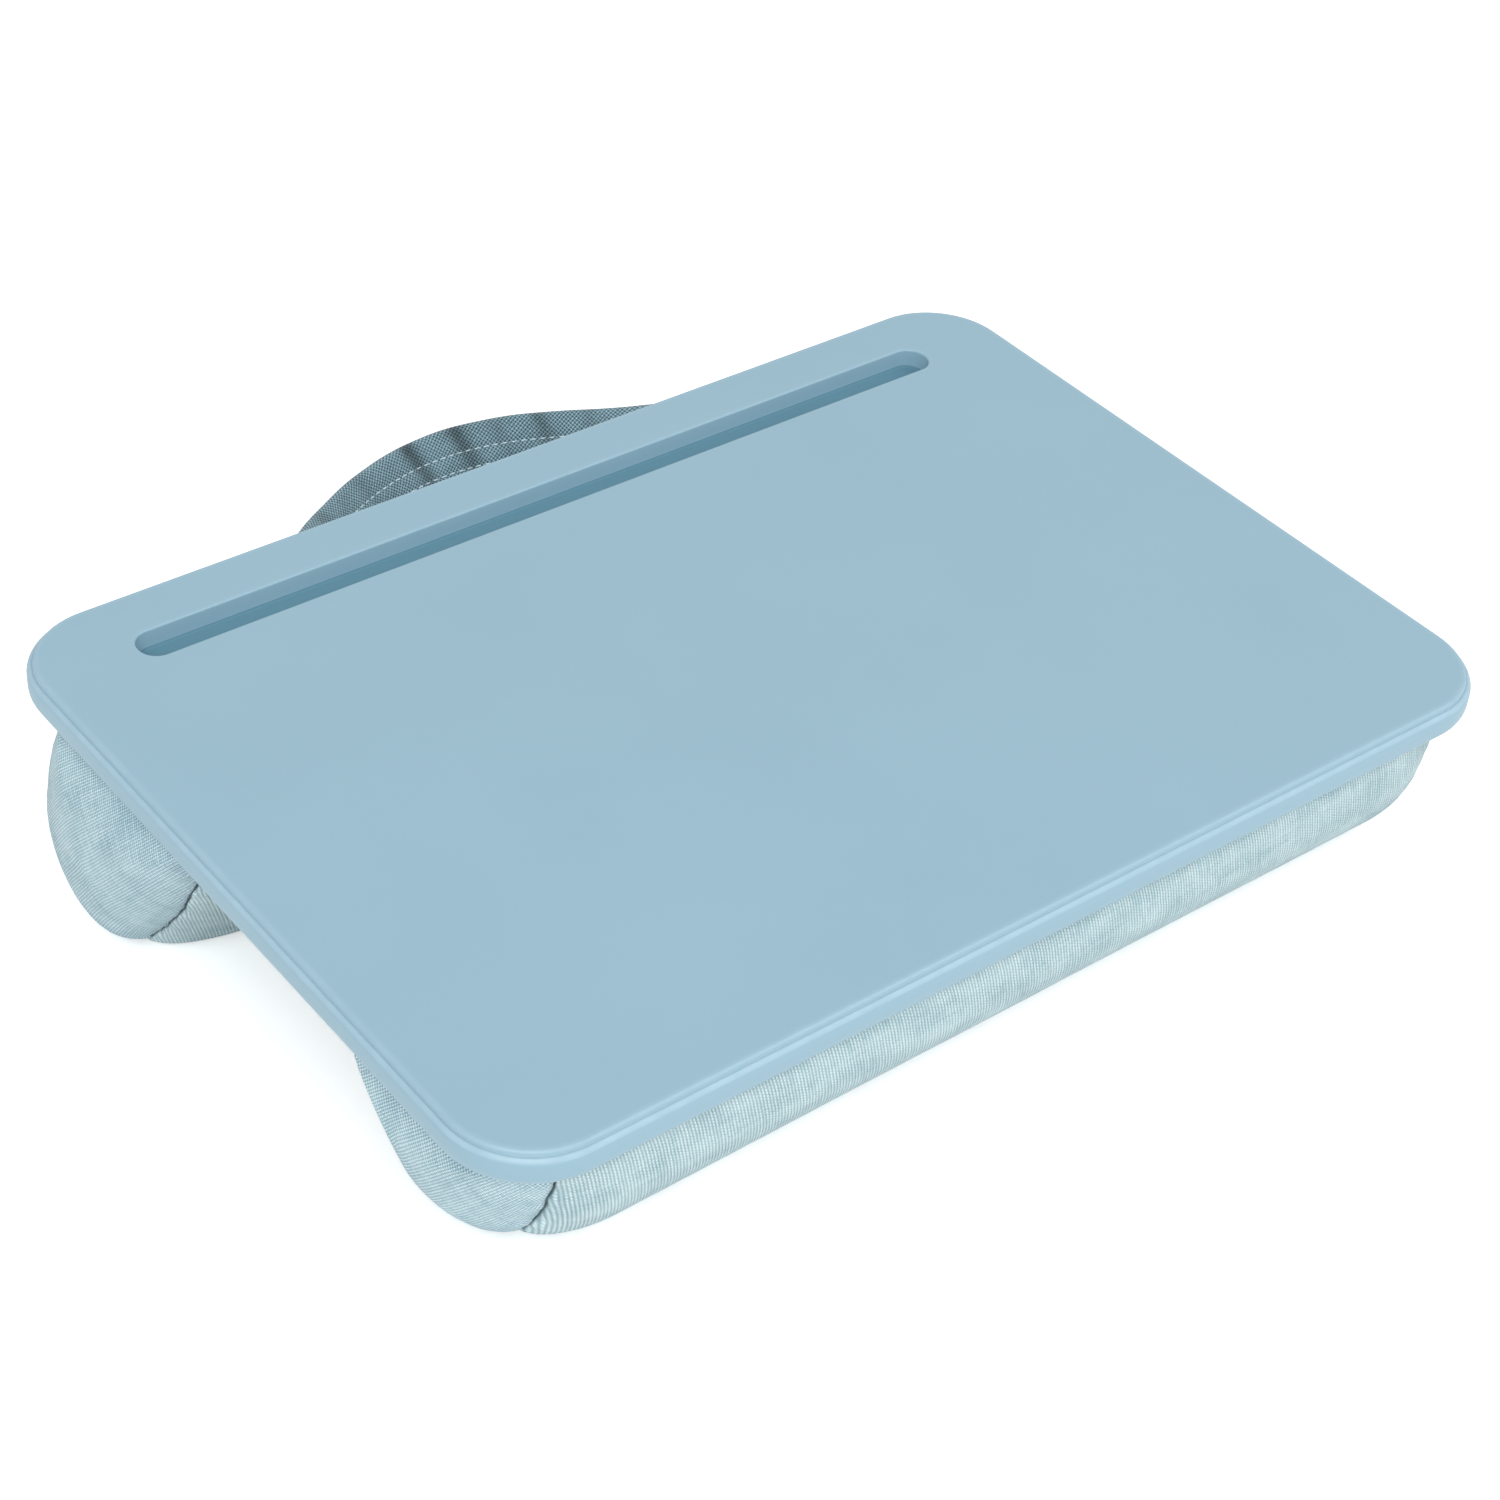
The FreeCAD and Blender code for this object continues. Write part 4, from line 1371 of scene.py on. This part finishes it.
# Stage: a plain pale floor, soft studio light, and a camera at the photograph's place.
# None of it belongs to the tray.
floor_pale = (0.92, 0.92, 0.92, 1.0)
floor_glow = 0.5
floor_rough = 0.9
floor_half = 4.0
floor_drop = 0.0003
camera_place = Vector((-0.49115, -0.67024, 0.54925))
camera_aim = Vector((-0.0347, -0.0642, 0.0699))
camera_roll = math.radians(-1.95)
focal_pixels = 3135.16
photo_pixels = 1500.0
camera_sensor = 36.0
camera_far = 50.0
sky_white = (1.0, 1.0, 1.0, 1.0)
sky_level = 0.55
lamps = {"key_lamp": {"place": (-1.8, -2.35, 2.5), "size": 2.2, "power": 75.0},
         "front_lamp": {"place": (1.8, -2.4, 2.3), "size": 1.8, "power": 26.0}}
lamp_aim = Vector((0.0, 0.0, 0.05))


def seen_by_eye(tree):
    """1 for what the camera, gloss or glass shows, and 0 for light on the object."""
    rays = put(tree, "ShaderNodeLightPath").outputs
    direct = calc(tree, "MAXIMUM", rays["Is Camera Ray"], rays["Is Glossy Ray"])
    return calc(tree, "MAXIMUM", direct, rays["Is Transmission Ray"])


floor_mesh = bpy.data.meshes.new("studio_floor")
floor_mesh.from_pydata([(x * floor_half, y * floor_half, -floor_drop)
                        for x, y in ((-1, -1), (1, -1), (1, 1), (-1, 1))], [], [(0, 1, 2, 3)])
floor = new_object("studio_floor", floor_mesh)
floor_finish, floor_tree, floor_shader = new_finish("pale_floor", Base_Color=floor_pale,
                                                    Emission_Color=floor_pale, Roughness=floor_rough)
glow = levels(floor_tree, seen_by_eye(floor_tree), 0.0, 1.0, 0.0, floor_glow)
floor_tree.links.new(glow, floor_shader.inputs["Emission Strength"])
floor_mesh.materials.append(floor_finish)

lens = bpy.data.cameras.new("photo_camera")
lens.sensor_width = camera_sensor
lens.lens = camera_sensor * focal_pixels / photo_pixels
lens.clip_end = camera_far
camera = new_object("photo_camera", lens)
facing = (camera_aim - camera_place).to_track_quat("-Z", "Y").to_matrix().to_4x4()
camera.matrix_world = Matrix.Translation(camera_place) @ facing @ Matrix.Rotation(camera_roll, 4, "Z")
bpy.context.scene.camera = camera

world = bpy.data.worlds.new("studio")
world.use_nodes = True
sky = world.node_tree.nodes["Background"]
sky.inputs["Color"].default_value = sky_white
brightness = levels(world.node_tree, seen_by_eye(world.node_tree), 0.0, 1.0, sky_level, 1.0)
world.node_tree.links.new(brightness, sky.inputs["Strength"])
bpy.context.scene.world = world

for lamp_name, lamp_values in lamps.items():
    light = bpy.data.lights.new(lamp_name, "AREA")
    light.size = lamp_values["size"]
    light.energy = lamp_values["power"]
    lamp = new_object(lamp_name, light)
    lamp.location = lamp_values["place"]
    lamp.rotation_euler = (lamp_aim - lamp.location).to_track_quat("-Z", "Y").to_euler()

bpy.context.scene.view_settings.view_transform = "Standard"
